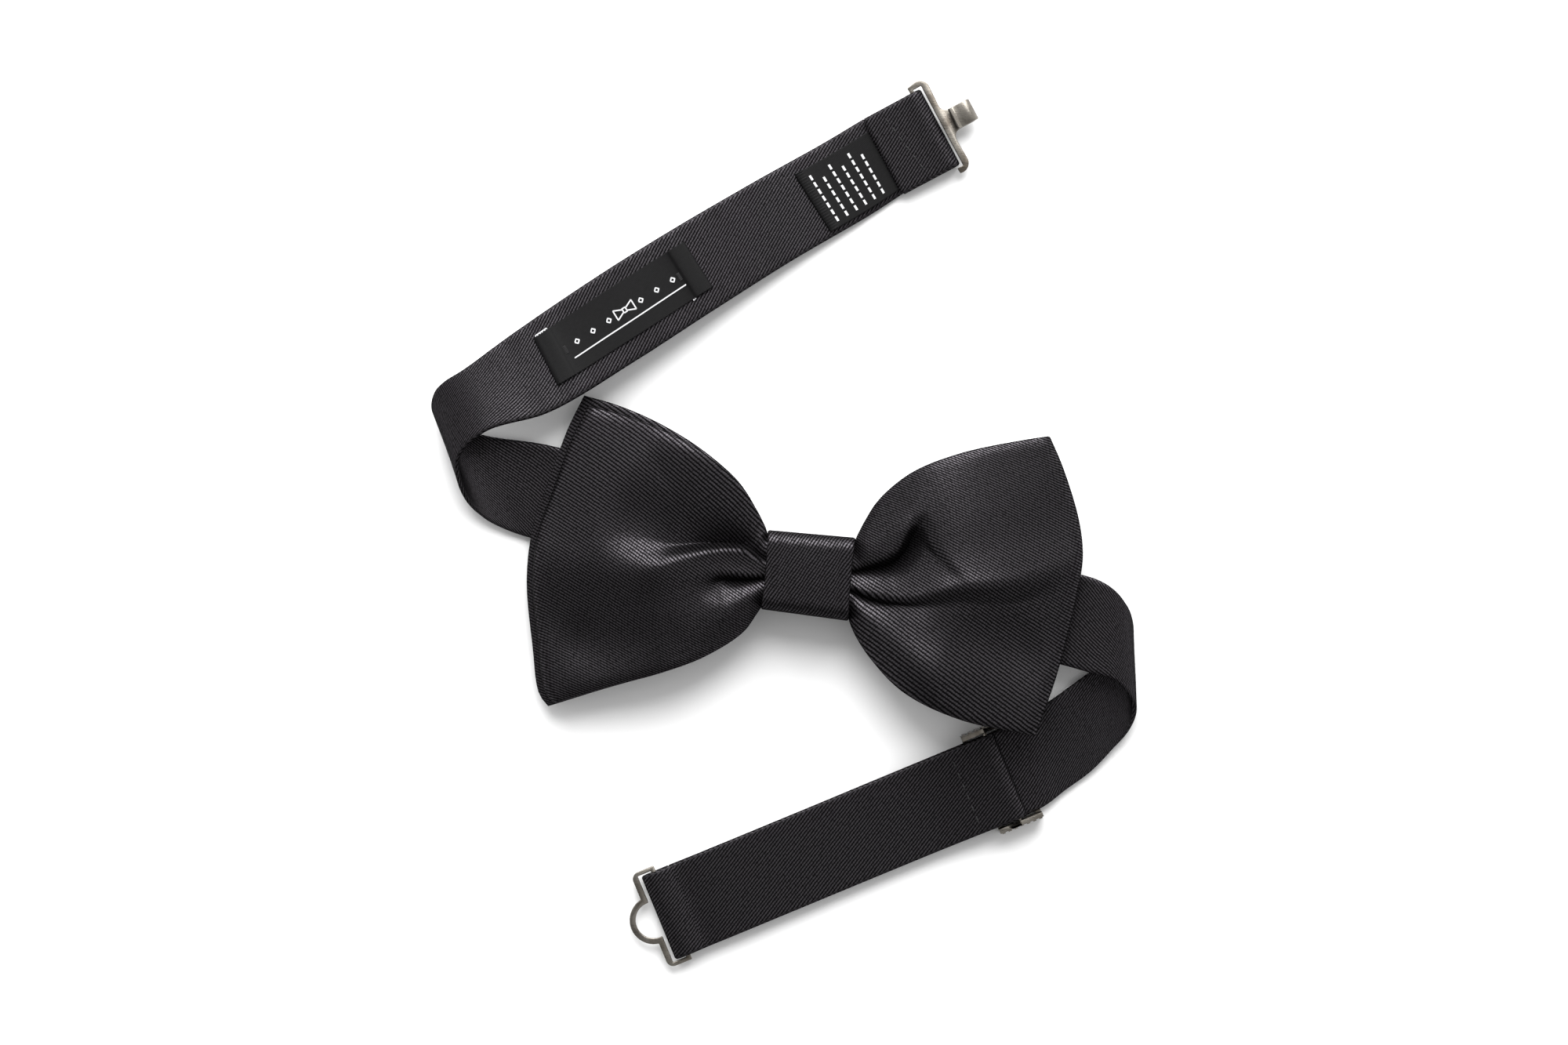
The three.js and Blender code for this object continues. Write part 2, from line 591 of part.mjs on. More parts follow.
function adjusterEndLoop() {
  const { x, barZ } = ADJUSTER;
  const radius = ADJUSTER.barRadius + 0.4 + SATIN / 2;
  const underZ = SLIDING_PLY_Z + SATIN + GAP;
  const profile = [[x + ADJUSTER_HEM, underZ], [x + 4, underZ]];
  const turns = 6;
  for (let i = 0; i <= turns; i++) {
    const angle = -Math.PI / 2 - (i / turns) * Math.PI;
    profile.push([x + Math.cos(angle) * radius, barZ + Math.sin(angle) * radius]);
  }
  profile.push([x + 4, underZ + 2.2], [x + ADJUSTER_HEM, underZ + SATIN + GAP]);
  return strapAlong(profile, EYE_HALF_WIDTH, 30);
}

function eyeEnd() {
  const frame = endFrame(EYE_END);
  const loopX = -5 + GAP;
  const topZ = HOOK_BAR_Z + END_LOOP_RADIUS;
  const hemZ = topZ - 0.6;
  const loop = endLoop(HOOK_BAR_Z, 0.6, loopX, hemZ, loopX - 1, EYE_HALF_WIDTH - 0.3);
  frame.add(mesh('eye_end_loop', loop, COLOURS.satin));
  frame.add(mesh('eye_plate', eyePlate(), COLOURS.steel, 1));
  frame.add(mesh('adjuster_frame', adjusterFrame(), COLOURS.steel, 1));
  frame.add(mesh('adjuster_bar', adjusterBar(), COLOURS.steel, 1));
  frame.add(mesh('adjuster_end_loop', adjusterEndLoop(), COLOURS.satin));
  const hemX = ADJUSTER.x + ADJUSTER_HEM;
  const hemTopZ = SLIDING_PLY_Z + 2 * (SATIN + GAP);
  const restZ = 2.3; // where the return band lies on the sliding ply
  const profile = [[hemX + GAP, hemTopZ], [hemX + 8, restZ + 0.6], [hemX + 20, restZ], [-22, restZ],
    [loopX - 1.1 - GAP, hemZ]];
  frame.add(mesh('return_band', strapAlong(profile, EYE_HALF_WIDTH, 24), COLOURS.satin));
  const seamX = hemX - 1;
  const seamZ = hemTopZ + SATIN / 2 + GAP + 0.5;
  const seam = stitchRow([seamX, -HEM_SEAM_HALF, seamZ], [seamX, HEM_SEAM_HALF, seamZ], 8);
  frame.add(mesh('adjuster_hem_stitches', seam, COLOURS.thread));
  return frame;
}

// ---- the whole bow tie ----
function buildBowTie() {
  const tie = new THREE.Group();
  const plans = { left: wingPlan(WINGS.left), right: wingPlan(WINGS.right) };
  tie.add(mesh('bow_loop', bowLoop(plans), COLOURS.satin));
  tie.add(mesh('bow_stiffener_left', stiffener(WINGS.left, plans.left), COLOURS.lining));
  tie.add(mesh('bow_stiffener_right', stiffener(WINGS.right, plans.right), COLOURS.lining));
  tie.add(mesh('bow_back_piece', backPiece(plans), COLOURS.satin));
  tie.add(mesh('bow_binding_thread', bindingThread(), COLOURS.thread));

  const liningInset = KNOT.wrap + GAP;
  tie.add(mesh('knot_wrap', knotRing(0, KNOT.wrap, KNOT.width), COLOURS.satin));
  tie.add(mesh('knot_lining', knotRing(liningInset, KNOT.lining, KNOT.width - 1), COLOURS.lining));
  const seamEnd = KNOT.width / 2 - 1;
  const seam = stitchRow([-seamEnd, KNOT_SEAM.y, 0.5], [seamEnd, KNOT_SEAM.y, 0.5], 9);
  tie.add(mesh('knot_seam_stitches', seam, COLOURS.thread));

  const { hookEnd: hook, leftFoldTop, leftFoldBottom, rightFoldTop, rightFoldBottom } = STATION;
  tie.add(mesh('left_band', bandStretch(hook, leftFoldTop, 18), COLOURS.satin));
  tie.add(mesh('left_fold', bandStretch(leftFoldTop, leftFoldBottom, 24), COLOURS.satin));
  tie.add(mesh('centre_band', bandStretch(leftFoldBottom, rightFoldTop, 24), COLOURS.satin));
  tie.add(mesh('right_fold', bandStretch(rightFoldTop, rightFoldBottom, 20), COLOURS.satin));
  tie.add(mesh('right_band', bandStretch(rightFoldBottom, SLIDE_STATION, 8), COLOURS.satin));
  tie.add(mesh('sliding_band', bandStretch(SLIDE_STATION, LAST_STATION, 16), COLOURS.satin));
  tie.add(mesh('brand_label', labelOnBand(BRAND_LABEL), COLOURS.label));
  tie.add(mesh('care_label', labelOnBand(CARE_LABEL), COLOURS.label));
  tie.add(mesh('brand_label_tack_left', labelTack(BRAND_LABEL.to - 0.15), COLOURS.thread));
  tie.add(mesh('brand_label_tack_right', labelTack(BRAND_LABEL.from + 0.15), COLOURS.thread));
  tie.add(hookEnd(), eyeEnd());
  return tie;
}

export default buildBowTie();
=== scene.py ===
"""A pre-tied satin bow tie on an adjustable neckband, laid flat on a pale floor.

Lengths are millimetres in the bow's frame and turn into metres when a mesh is made. +X runs along the
bow, +Y up the bow, +Z out of its front, and the origin is the middle of the knot's flat back.
"""
from math import cos, pi, radians, sin

import bmesh
import bpy
import numpy as np
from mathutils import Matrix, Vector


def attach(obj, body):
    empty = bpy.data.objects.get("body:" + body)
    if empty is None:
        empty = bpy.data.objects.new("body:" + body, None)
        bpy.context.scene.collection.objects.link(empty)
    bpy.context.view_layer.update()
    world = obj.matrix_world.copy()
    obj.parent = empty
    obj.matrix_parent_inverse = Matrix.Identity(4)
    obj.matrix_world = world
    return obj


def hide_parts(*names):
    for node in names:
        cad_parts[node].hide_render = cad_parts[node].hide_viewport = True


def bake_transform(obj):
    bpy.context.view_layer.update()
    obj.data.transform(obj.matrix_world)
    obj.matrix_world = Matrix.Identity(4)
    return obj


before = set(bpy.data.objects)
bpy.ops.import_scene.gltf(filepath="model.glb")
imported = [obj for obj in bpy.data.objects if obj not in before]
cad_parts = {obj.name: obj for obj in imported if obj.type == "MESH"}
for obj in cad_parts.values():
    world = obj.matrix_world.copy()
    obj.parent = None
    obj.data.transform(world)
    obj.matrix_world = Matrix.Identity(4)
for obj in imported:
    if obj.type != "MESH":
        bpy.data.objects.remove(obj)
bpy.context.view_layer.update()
MM = 0.001

# ---- driving dimensions, as in the CAD model ----
SATIN = 1.0
HALF_SATIN = SATIN / 2
KNOT = {"width": 18.9, "half_height": 8.9, "depth": 14.9, "wrap": 1.0, "lining": 0.35}
KNOT_FRONT_RADIUS = 2.8
KNOT_BACK_RADIUS = 2.0
KNOT_SEAM_Y = -4.9
KNOT_SEAM_GAP = 0.5
KNOT_SHARE = 0.17  # how much of a wing's length the knot hides

BACK_PIECE_Z = 4.5
LOOP_BACK_Z = 5.8
LOOP_FRONT_Z = 11.2
FOLD_GAP = 3.0  # between the loop's two plies at the outer fold
WING_LENGTH = 50
CROWN = 5.2  # how far a wing's front bulges
CLOTH_EDGE = 0.008  # share of a wing's height that its rounded rim takes at each edge
GATHER_DEPTH = 2.4  # how far the plies' edges are pulled down beside the knot
LIP_WIDTH = 2.8
STIFFENER = 0.4
TWILL_ANGLE = 120  # degrees of the satin's twill from the cloth's length
TWILL_PITCH = 0.6

# Each wing's outline from the knot outwards, with x growing outwards on both sides. Its front ply is
# shaped by folds that the knot's pinch presses into it. A swell is a line of (x, y, height, width) places.
# A lip is a line of (x, y, rise, drop, reach, softness) places where one side stands over the other, the
# side to the line's left if high is 1.
LEFT_WING = {
    "side": -1,
    "top": [(0, 5.7), (3, 5.7), (6.5, 6.8), (9.2, 7.3), (10.4, 9.6), (12.6, 13.2), (16.4, 18.2),
            (24.4, 23.9), (33.3, 28), (42, 30.6), (49.6, 32)],
    "bottom": [(0, -5.7), (3, -5.7), (6.5, -6.6), (9.2, -7), (10.4, -8.8), (13, -13.2), (20.5, -19),
               (28.7, -23), (40.2, -27.4), (51.4, -32)],
    "outer": [(51.4, -32), (53.6, -29.4), (55.8, -19.7), (58.2, -6.3), (58, 3.9), (55.8, 12.6),
              (52.5, 24.8), (49.6, 32)],
    "back_piece_z": 3.3,
    "loop_back_z": 4.7,
    "back_piece_growth": (0.034, 0.075),
    "fall": {"top": -0.12, "bottom": 0.3},
    "swells": {
        "middle_ridge": [(20, 0.5, 0.2, 3), (28, -0.5, 1, 4.5), (36, -1, 1.6, 6), (46, -1.5, 1.5, 7),
            (54, -1.5, 0.8, 7)],
        "upper_crest": [(29, 26, 0.2, 5), (37, 24, 1, 6), (42, 17, 1.7, 6.5), (45, 9, 1.6, 6),
            (48, 1, 0.6, 6)],
        "lower_lobe": [(10, -5, 0.5, 2.4), (14, -7, 1, 3), (18, -9.5, 1, 3.6), (23, -12, 0.5, 4.2),
            (28, -14, 0, 4)],
        "outer_hollow": [(30, -15, -0.3, 4.5), (38, -18, -1, 6), (46, -18, -1.1, 6), (52, -16, -0.3, 5)],
        "corner_rise": [(36, -27, 0.2, 4), (43, -28, 0.5, 4), (48, -27, 0.3, 4)],
    },
    "lips": {
        "main_valley": {"high": -1, "line": [
            (5, 1.6, 0.3, 0.6, 1.2, 0.6), (9.7, 2.4, 0.4, 2, 1.8, 0.6), (12.4, 3.7, 0.6, 3, 2.8, 0.6),
            (14.3, 4.5, 0.8, 3.9, 4, 0.6), (17.5, 4.6, 0.8, 4.6, 5.6, 0.7),
            (20.7, 4.2, 0.7, 4.6, 7, 0.8), (24.3, 3.5, 0.5, 4.2, 8.4, 1.1),
            (28.4, 2.5, 0.3, 3.4, 9.6, 1.8), (32.3, 1.6, 0.2, 2.5, 11, 3), (38, 1, 0.1, 1.5, 12, 4.5),
            (46, 0.5, 0, 0, 12, 6)
        ]},
        "second_valley": {"high": 1, "line": [
            (5, -0.9, 0.2, 0.4, 1, 0.6), (9.9, -1.2, 0.4, 1.6, 1.4, 0.6), (12.9, -1.5, 0.6, 2.3, 2, 0.6),
            (15.6, -1.6, 0.7, 2.8, 2.8, 0.7), (18.2, -1.8, 0.6, 2.6, 3.6, 1),
            (20.4, -2.6, 0.4, 1.9, 4, 1.6), (22.2, -4.2, 0.2, 1, 4, 2.4), (23.4, -6.5, 0, 0, 4, 3)
        ]},
    },
}
RIGHT_WING = {
    "side": 1,
    "top": [(0, 5.7), (3, 5.7), (6.5, 6.8), (9.2, 7.3), (10.2, 9.6), (11.4, 12.6), (13.9, 17.4),
            (20, 23.6), (29.7, 28.6), (42.9, 32.7), (48.2, 34)],
    "bottom": [(0, -5.7), (3, -5.7), (6.5, -6.8), (9.2, -7.3), (10.2, -9.4), (11.6, -12), (15.2, -16.6),
               (22.3, -22.8), (34.7, -27.6), (50.8, -29.8)],
    "outer": [(50.8, -29.8), (54.6, -14.3), (57.4, 5.6), (57.3, 10.7), (55.8, 17.3), (51.8, 27.2),
              (48.2, 34)],
    "back_piece_z": 8.8,
    "loop_back_z": 10.2,
    "back_piece_growth": (-0.025, -0.03),
    "fall": {"top": 0.4, "bottom": 0.15},
    "swells": {
        "upper_lobe": [(9.5, 5, 0.3, 2.5), (13, 7, 1.2, 3.2), (17, 10.5, 0.9, 3.5), (21, 15, 0.2, 4)],
        "lower_lobe": [(9.5, -5, 0.4, 2.4), (13, -8.7, 1, 3), (20, -14.5, 1.4, 4.6),
            (29, -20.5, 1.2, 5.5), (37, -24, 0.3, 5)],
        "roof": [(25, -2, 0.3, 5), (33, -0.5, 1.1, 6.5), (43, 0.8, 1.8, 8), (49, 2.6, 1.5, 8),
            (55, 5.5, 0.6, 7)],
        "outer_hollow": [(31, -8, -0.4, 5), (38, -10, -1.6, 7), (45, -11, -1.7, 8), (51, -10, -0.6, 7)],
    },
    "lips": {
        "pocket": {"high": 1, "line": [
            (5, 1.4, 0.3, 0.5, 1.2, 0.6), (9.3, 2, 0.3, 1.7, 1.7, 0.6), (12.9, 3.3, 0.6, 2.8, 2.6, 0.6),
            (15.8, 4.4, 0.8, 3.8, 3.6, 0.7), (18, 5.7, 0.8, 4.6, 5, 0.8), (19.4, 7.7, 0.7, 5, 6, 0.9),
            (20.4, 10.3, 0.5, 4.6, 6, 1.2), (22, 12.5, 0.3, 3, 5.5, 1.8), (24.6, 14, 0, 0, 5, 3)
        ]},
        "crease": {"high": 1, "line": [
            (5, -1.6, 0.2, 0.4, 1, 0.6), (9.7, -2.2, 0.4, 1.6, 1.3, 0.6),
            (12.4, -3.1, 0.5, 2.1, 1.6, 0.6), (15, -3.6, 0.6, 2.2, 2, 0.6),
            (18.6, -3.9, 0.6, 2, 2.4, 0.7), (22.6, -3.7, 0.6, 1.6, 3, 1),
            (27.6, -2.4, 0.6, 1.2, 4.5, 1.6), (32.6, -1.1, 0.6, 1.6, 7, 2.2),
            (42.7, 0.4, 0.7, 2.1, 9, 2.8), (49.1, 2.4, 0.5, 1.7, 9, 3.4), (55, 5.2, 0.2, 0.5, 8, 4)
        ]},
    },
}

# The neckband's stations from the hook end to the eye end: in each pair of brackets a point on its south
# edge, then the matching point on its north edge.
NECKBAND = [
    (13.3, 83.8, 0.7, 3.4, 99.1, 0.7), (6.6, 78.5, 1, -4.6, 93.3, 1),
    (-9.2, 67.2, 2.6, -20.5, 82.3, 2.7), (-25.2, 54.8, 4.8, -37, 70.4, 4.9),
    (-41, 42.3, 7.2, -52.8, 58.2, 7), (-58.2, 29.8, 10, -67.8, 45.7, 8.2),
    (-71.2, 24.7, 11, -77.3, 37.2, 8.6), (-76.4, 19, 9.6, -81.2, 34.4, 8),
    (-76.3, 14.1, 7.4, -83.2, 32, 6.6), (-74, 9.3, 4.8, -83.2, 28.6, 4.6),
    (-70.5, 6.1, 2.8, -79.3, 25.6, 2.4), (-65.1, 3.8, 1.7, -71.5, 23.9, 1.4),
    (-58.1, 2.2, 1.3, -58.5, 23.1, 1.3), (-40, -1.4, 1.4, -37, 18.9, 1.4),
    (-24, -4.6, 1.9, -21, 14.2, 1.9), (-9.6, -6.6, 2.35, -9.6, 6.8, 2.35),
    (0, -6.8, 2.35, 0, 6.8, 2.35), (9.6, -6.8, 2.35, 9.6, 6.6, 2.35),
    (23, -11, 3.2, 25, 8.6, 3.2), (40, -13, 5.2, 42, 6.8, 5.2),
    (54.8, -14.3, 7, 58.2, 5.3, 7), (61.5, -15.5, 7.5, 63, 4.1, 7.3),
    (67.5, -16.7, 7.4, 66.8, 1.6, 6.8), (72.2, -22, 5.2, 69.6, -2.5, 5),
    (71.9, -27, 3, 70.3, -7, 2.8), (68.6, -32, 1.7, 67, -11.9, 1.6),
    (64.4, -37.2, 1.3, 62.2, -15.7, 1.3), (59.6, -41.3, 1.3, 53.4, -23.3, 1.3),
]

# The fastener ends, each a frame with x outwards along the strap.
HOOK_END = {"x": 19.6, "y": 98.5, "heading": 33}
EYE_END = {"x": -24.4, "y": -75.9, "heading": 207.5}
HOOK_HALF_WIDTH = 9.2
EYE_HALF_WIDTH = 9.7
BAR_X = -1.45
BAR_Z = 2.05
END_LOOP_RADIUS = 1.45
HOOK_HEM = 13
HOOK_HEM_OVERLAP = 0.55  # how far the upper ply runs past the lower one
SLIDING_Z = 1.8  # of the lower ply, with room for the adjuster's end bars to slide along under it
PLY_GAP = 0.3

ADJUSTER_X = -78.7
ADJUSTER_BAR_Z = 4.5
ADJUSTER_LOOP_RADIUS = 1.4
ADJUSTER_HEM_X = ADJUSTER_X + 9.5

RIBBON_THICKNESS = 0.18
RIBBON_TOOTH = 0.62  # pitch of the teeth along a ribbon's cut edges
MARK_HEIGHT = 0.07
# Each label, from one station of the band to another and between two shares of its width.
BRAND_LABEL = {"from": 2.88, "to": 4.78, "low": 0.22, "high": 0.815}
CARE_LABEL = {"from": 0.06, "to": 1.5, "low": 0.06, "high": 0.84}

# ---- the view ----
CAMERA_LENS = 85
FRAME_WIDTH = 339  # what the picture's long side covers at the floor
LOOK_AT = (-6.1, 10.8)
ROLL = 5  # degrees that the bow's axis points down to the right
ROOM_LIGHT = {"brightest": (0, 0.7, -0.7), "least": 0.15, "most": 2.7}


# ---- curves and surfaces ----
def smooth(t):
    t = np.clip(t, 0, 1)
    return t * t * (3 - 2 * t)


def mix(a, b, share):
    return a + (b - a) * share


def unit(vectors):
    return vectors / np.maximum(np.linalg.norm(vectors, axis=-1, keepdims=True), 1e-9)


def joined(*columns):
    """Columns of coordinates put together as points."""
    return np.stack(np.broadcast_arrays(*columns), axis=-1)


def travel(line):
    """How far along a line each of its points is, or along each of several lines side by side."""
    steps = np.linalg.norm(np.diff(line, axis=0), axis=-1)
    return np.concatenate([np.zeros_like(steps[:1]), np.cumsum(steps, axis=0)])


def at_lengths(line, lengths):
    """The places at given lengths along a line."""
    return joined(*(np.interp(lengths, travel(line), column) for column in line.T))


class Curve:
    """A centripetal Catmull-Rom curve. at() goes evenly by its points, along() evenly by length."""

    def __init__(self, points):
        inner = np.array(points, float)
        first = 2 * inner[0] - inner[1]
        last = 2 * inner[-1] - inner[-2]
        self.points = np.vstack([first, inner, last])
        self.segments = len(inner) - 1
        self.shares = np.linspace(0, 1, 40 * self.segments + 1)
        travelled = travel(self.at(self.shares))
        self.length = travelled[-1]
        self.travelled = travelled / travelled[-1]

    def at(self, share):
        place = np.clip(np.asarray(share, float), 0, 1) * self.segments
        segment = np.minimum(place.astype(int), self.segments - 1)
        t = (place - segment)[..., None]
        before, start, end, after = (self.points[segment + k] for k in range(4))
        d0, d1, d2 = (
            np.maximum(np.linalg.norm(b - a, axis=-1, keepdims=True), 1e-6) ** 0.5
            for a, b in ((before, start), (start, end), (end, after))
        )
        leave = ((start - before) / d0 - (end - before) / (d0 + d1) + (end - start) / d1) * d1
        arrive = ((end - start) / d1 - (after - start) / (d1 + d2) + (after - end) / d2) * d1
        cubic = 2 * start - 2 * end + leave + arrive
        square = -3 * start + 3 * end - 2 * leave - arrive
        return ((cubic * t + square) * t + leave) * t + start

    def along(self, share):
        return self.at(np.interp(share, self.travelled, self.shares))


def softened(field, passes):
    """A field with each inner place drawn towards its neighbours."""
    for _ in range(2 * passes):
        field = field.copy()
        field[1:-1] = (field[:-2] + 2 * field[1:-1] + field[2:]) / 4
        field = field.T  # so that every other pass goes the other way
    return field


def grid_normals(grid):
    return unit(np.cross(np.gradient(grid, axis=0), np.gradient(grid, axis=1)))


def weave_coordinates(grid):
    """Millimetres along and across the cloth at each point of its grid."""
    across = travel(grid.swapaxes(0, 1)).T
    across -= across[:, grid.shape[1] // 2][:, None]
    return joined(travel(grid), across)


def weave_in_plan(grid, middle):
    """Weave coordinates of a strip that lies nearly flat, measured along from its middle row."""
    weave = weave_coordinates(grid * (1, 1, 0))
    weave[..., 0] -= weave[middle, :, 0]
    return weave


def weave_in_rows(grid):
    """Weave coordinates of a strip whose rows each lie straight across it."""
    weave = weave_coordinates(grid)
    weave[..., 0] = weave[..., 0].mean(axis=1, keepdims=True)
    return weave


def added(name, data):
    """A new object in the scene."""
    item = bpy.data.objects.new(name, data)
    bpy.context.collection.objects.link(item)
    return item


def new_object(name, vertices, faces, weave, material):
    mesh = bpy.data.meshes.new(name)
    mesh.from_pydata((np.asarray(vertices) * MM).tolist(), [], faces)
    corners = np.empty(len(mesh.loops), dtype=np.int32)
    mesh.loops.foreach_get("vertex_index", corners)
    layer = mesh.uv_layers.new(name="weave")
    layer.data.foreach_set("uv", np.asarray(weave, np.float32)[corners].ravel())
    mesh.shade_smooth()
    mesh.materials.append(material)
    piece = added(name, mesh)
    return piece


def stand_in(piece, body, node):
    """Puts a piece on its body, in the place of the CAD node that it shows."""
    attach(piece, body)
    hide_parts(node)


RIM_ANGLES = np.radians([62, 22, -22, -62])


def shell(grid, thickness, thinned):
    """Rings round a sheet whose middle surface is the grid, its long edges rounded."""
    half = np.full((len(grid), 1, 1), thickness / 2)
    for row in thinned:
        half[row] *= 0.3  # leaves a soft edge where the end is turned in
    normals = grid_normals(grid)
    across = unit(np.gradient(grid, axis=1))

    def rim(column, outwards, angles):
        aside, up = outwards * across[:, column], normals[:, column]
        turned = [cos(a) * aside + sin(a) * up for a in angles]
        return np.stack([grid[:, column] + half[:, 0] * turn for turn in turned], axis=1)

    front = grid + half * normals
    back = (grid - half * normals)[:, ::-1]
    return np.concatenate([front, rim(-1, 1, RIM_ANGLES), back, rim(0, -1, -RIM_ANGLES)], axis=1)


def ring_faces(first, rings, sides):
    """Faces between rings of vertices that follow each other."""
    faces = []
    for i in range(rings - 1):
        for k in range(sides):
            a = first + i * sides + k
            b = first + i * sides + (k + 1) % sides
            faces.append((a, a + sides, b + sides, b))
    return faces


def end_faces(first, columns, ring):
    """Faces that close a shell's first ring, looking back along it."""
    rim = len(RIM_ANGLES)
    back_of = [first + 2 * columns + rim - 1 - k for k in range(columns)]
    faces = [(first + k, first + k + 1, back_of[k + 1], back_of[k]) for k in range(columns - 1)]
    faces.append(tuple(first + columns - 1 + k for k in range(rim + 2)))
    faces.append(tuple([back_of[0]] + [first + ring - rim + k for k in range(rim)] + [first]))
    return faces


def cloth(name, grid, thickness, material, weave=None, thinned=()):
    """A closed sheet of cloth with rounded long edges, thinned at its turned-in end rows."""
    rows, columns = grid.shape[:2]
    rings = shell(grid, thickness, thinned)
    ring = rings.shape[1]
    weave = weave_in_rows(grid) if weave is None else weave
    turned = (pi / 2 - RIM_ANGLES)[:, None] * thickness / 2 * (0, 1)
    right = weave[:, -1:] + turned
    left = weave[:, :1] - turned[::-1]
    around = np.concatenate([weave, right, weave[:, ::-1], left], axis=1)
    faces = ring_faces(0, rows, ring) + end_faces(0, columns, ring)
    faces += [face[::-1] for face in end_faces((rows - 1) * ring, columns, ring)]
    piece = new_object(name, rings.reshape(-1, 3), faces, around.reshape(-1, 2), material)
    sharpen_ends(piece.data, ring, rows)
    return piece


def sharpen_ends(mesh, ring, rows):
    """Keeps a shell's flat ends from rounding the shading of the cloth beside them."""
    ends = np.empty(len(mesh.edges) * 2, dtype=np.int32)
    mesh.edges.foreach_get("vertices", ends)
    row = ends.reshape(-1, 2) // ring
    at_end = (row[:, 0] == row[:, 1]) & ((row[:, 0] == 0) | (row[:, 0] == rows - 1))
    sharp = mesh.attributes.new("sharp_edge", "BOOLEAN", "EDGE")
    sharp.data.foreach_set("value", at_end)


def stitches(name, ends, radius, height, up=(0, 0, 1)):
    """A row of black thread stitches, each from a start to an end and bulging up in the middle."""
    up = np.array(up)
    rings, sides = 9, 8
    vertices, faces, weave = [], [], []
    for start, end in np.array(ends):
        side = unit(np.cross(end - start, up))
        first = len(vertices)
        for i in range(rings):
            t = (i + 0.5) / rings
            arch = sin(pi * t)
            middle = mix(start, end, t) + up * height * (2 * arch - 1)
            for k in range(sides):
                angle = 2 * pi * k / sides
                swell = radius * arch**0.35
                vertices.append(middle + swell * (cos(angle) * side + sin(angle) * up))
                weave.append((t * 3, k / sides))
        # The rings turn the other way here, so the faces are turned over to look outwards.
        faces += [(face[0], *face[:0:-1]) for face in ring_faces(first, rings, sides)]
        faces.append(tuple(first + k for k in reversed(range(sides))))
        faces.append(tuple(first + (rings - 1) * sides + k for k in range(sides)))
    return new_object(name, vertices, faces, weave, BLACK_THREAD)


# ---- materials ----
def new_material(name, **settings):
    material = bpy.data.materials.new(name)
    material.use_nodes = True
    shader = material.node_tree.nodes["Principled BSDF"]
    for socket, value in settings.items():
        shader.inputs[socket.replace("_", " ")].default_value = value
    return material, material.node_tree, shader


def add_node(tree, kind, inputs=None, **settings):
    """A node with its settings, and with inputs that are values or the outputs of other nodes."""
    node = tree.nodes.new("ShaderNode" + kind)
    for key, value in settings.items():
        setattr(node, key, value)
    for key, value in (inputs or {}).items():
        if isinstance(value, bpy.types.NodeSocket):
            tree.links.new(value, node.inputs[key])
        else:
            node.inputs[key].default_value = value
    return node


def math_node(tree, operation, first, second):
    return add_node(tree, "Math", {0: first, 1: second}, operation=operation).outputs[0]


def scaled(tree, value, factor, offset):
    """A value times a factor, plus an offset."""
    return math_node(tree, "ADD", math_node(tree, "MULTIPLY", value, factor), offset)


def mingled(tree, first, second):
    """Three fifths of one value and two fifths of another."""
    most = math_node(tree, "MULTIPLY", first, 0.6)
    return math_node(tree, "ADD", most, math_node(tree, "MULTIPLY", second, 0.4))


def add_bump(tree, shader, height, distance, strength=1.0):
    inputs = {"Height": height, "Distance": distance, "Strength": strength}
    bump = add_node(tree, "Bump", inputs)
    tree.links.new(bump.outputs["Normal"], shader.inputs["Normal"])


def paint(tree, shader, value, dark, light, low=0.2, high=0.8):
    """Colours a surface from dark to light as a value goes from low to high."""
    ramp = add_node(tree, "ValToRGB", {"Fac": value})
    for element, position, colour in zip(ramp.color_ramp.elements, (low, high), (dark, light)):
        element.position = position
        element.color = (*colour, 1)
    tree.links.new(ramp.outputs["Color"], shader.inputs["Base Color"])


def mapped(tree, place, angle=0, stretch=(1, 1, 1), kind="POINT"):
    """Coordinates turned by an angle in degrees and stretched."""
    inputs = {"Vector": place, "Rotation": (0, 0, radians(angle)), "Scale": stretch}
    return add_node(tree, "Mapping", inputs, vector_type=kind).outputs["Vector"]


def on_cloth(tree):
    return add_node(tree, "UVMap", uv_map="weave").outputs["UV"]


def weave_stripes(tree, angle, pitch, wobble=0.0):
    """Stripes with a pitch in millimetres, in the cloth's own coordinates."""
    inputs = {"Vector": mapped(tree, on_cloth(tree), angle), "Scale": pi / 10 / pitch,
              "Distortion": wobble, "Detail": 1.0, "Detail Scale": 1.5}
    return add_node(tree, "TexWave", inputs).outputs["Fac"]


def noise(tree, place, scale, detail):
    inputs = {"Vector": place, "Scale": scale, "Detail": detail}
    return add_node(tree, "TexNoise", inputs).outputs["Fac"]


def cloth_noise(tree, scale, detail, stretch=(1, 1, 1), angle=0):
    """Noise in the cloth's own coordinates, its marks drawn out along and across a direction."""
    return noise(tree, mapped(tree, on_cloth(tree), angle, stretch, "TEXTURE"), scale, detail)


def object_noise(tree, scale, detail, stretch=(1, 1, 1)):
    """Noise in the object's own coordinates, its marks narrower where the stretch is over 1."""
    place = add_node(tree, "TexCoord").outputs["Object"]
    return noise(tree, mapped(tree, place, stretch=stretch), scale, detail)


def sharpened(tree, value, low, high):
    """A value spread out so that low becomes 0 and high becomes 1."""
    inputs = {"Value": value, "From Min": low, "From Max": high}
    return add_node(tree, "MapRange", inputs).outputs["Result"]


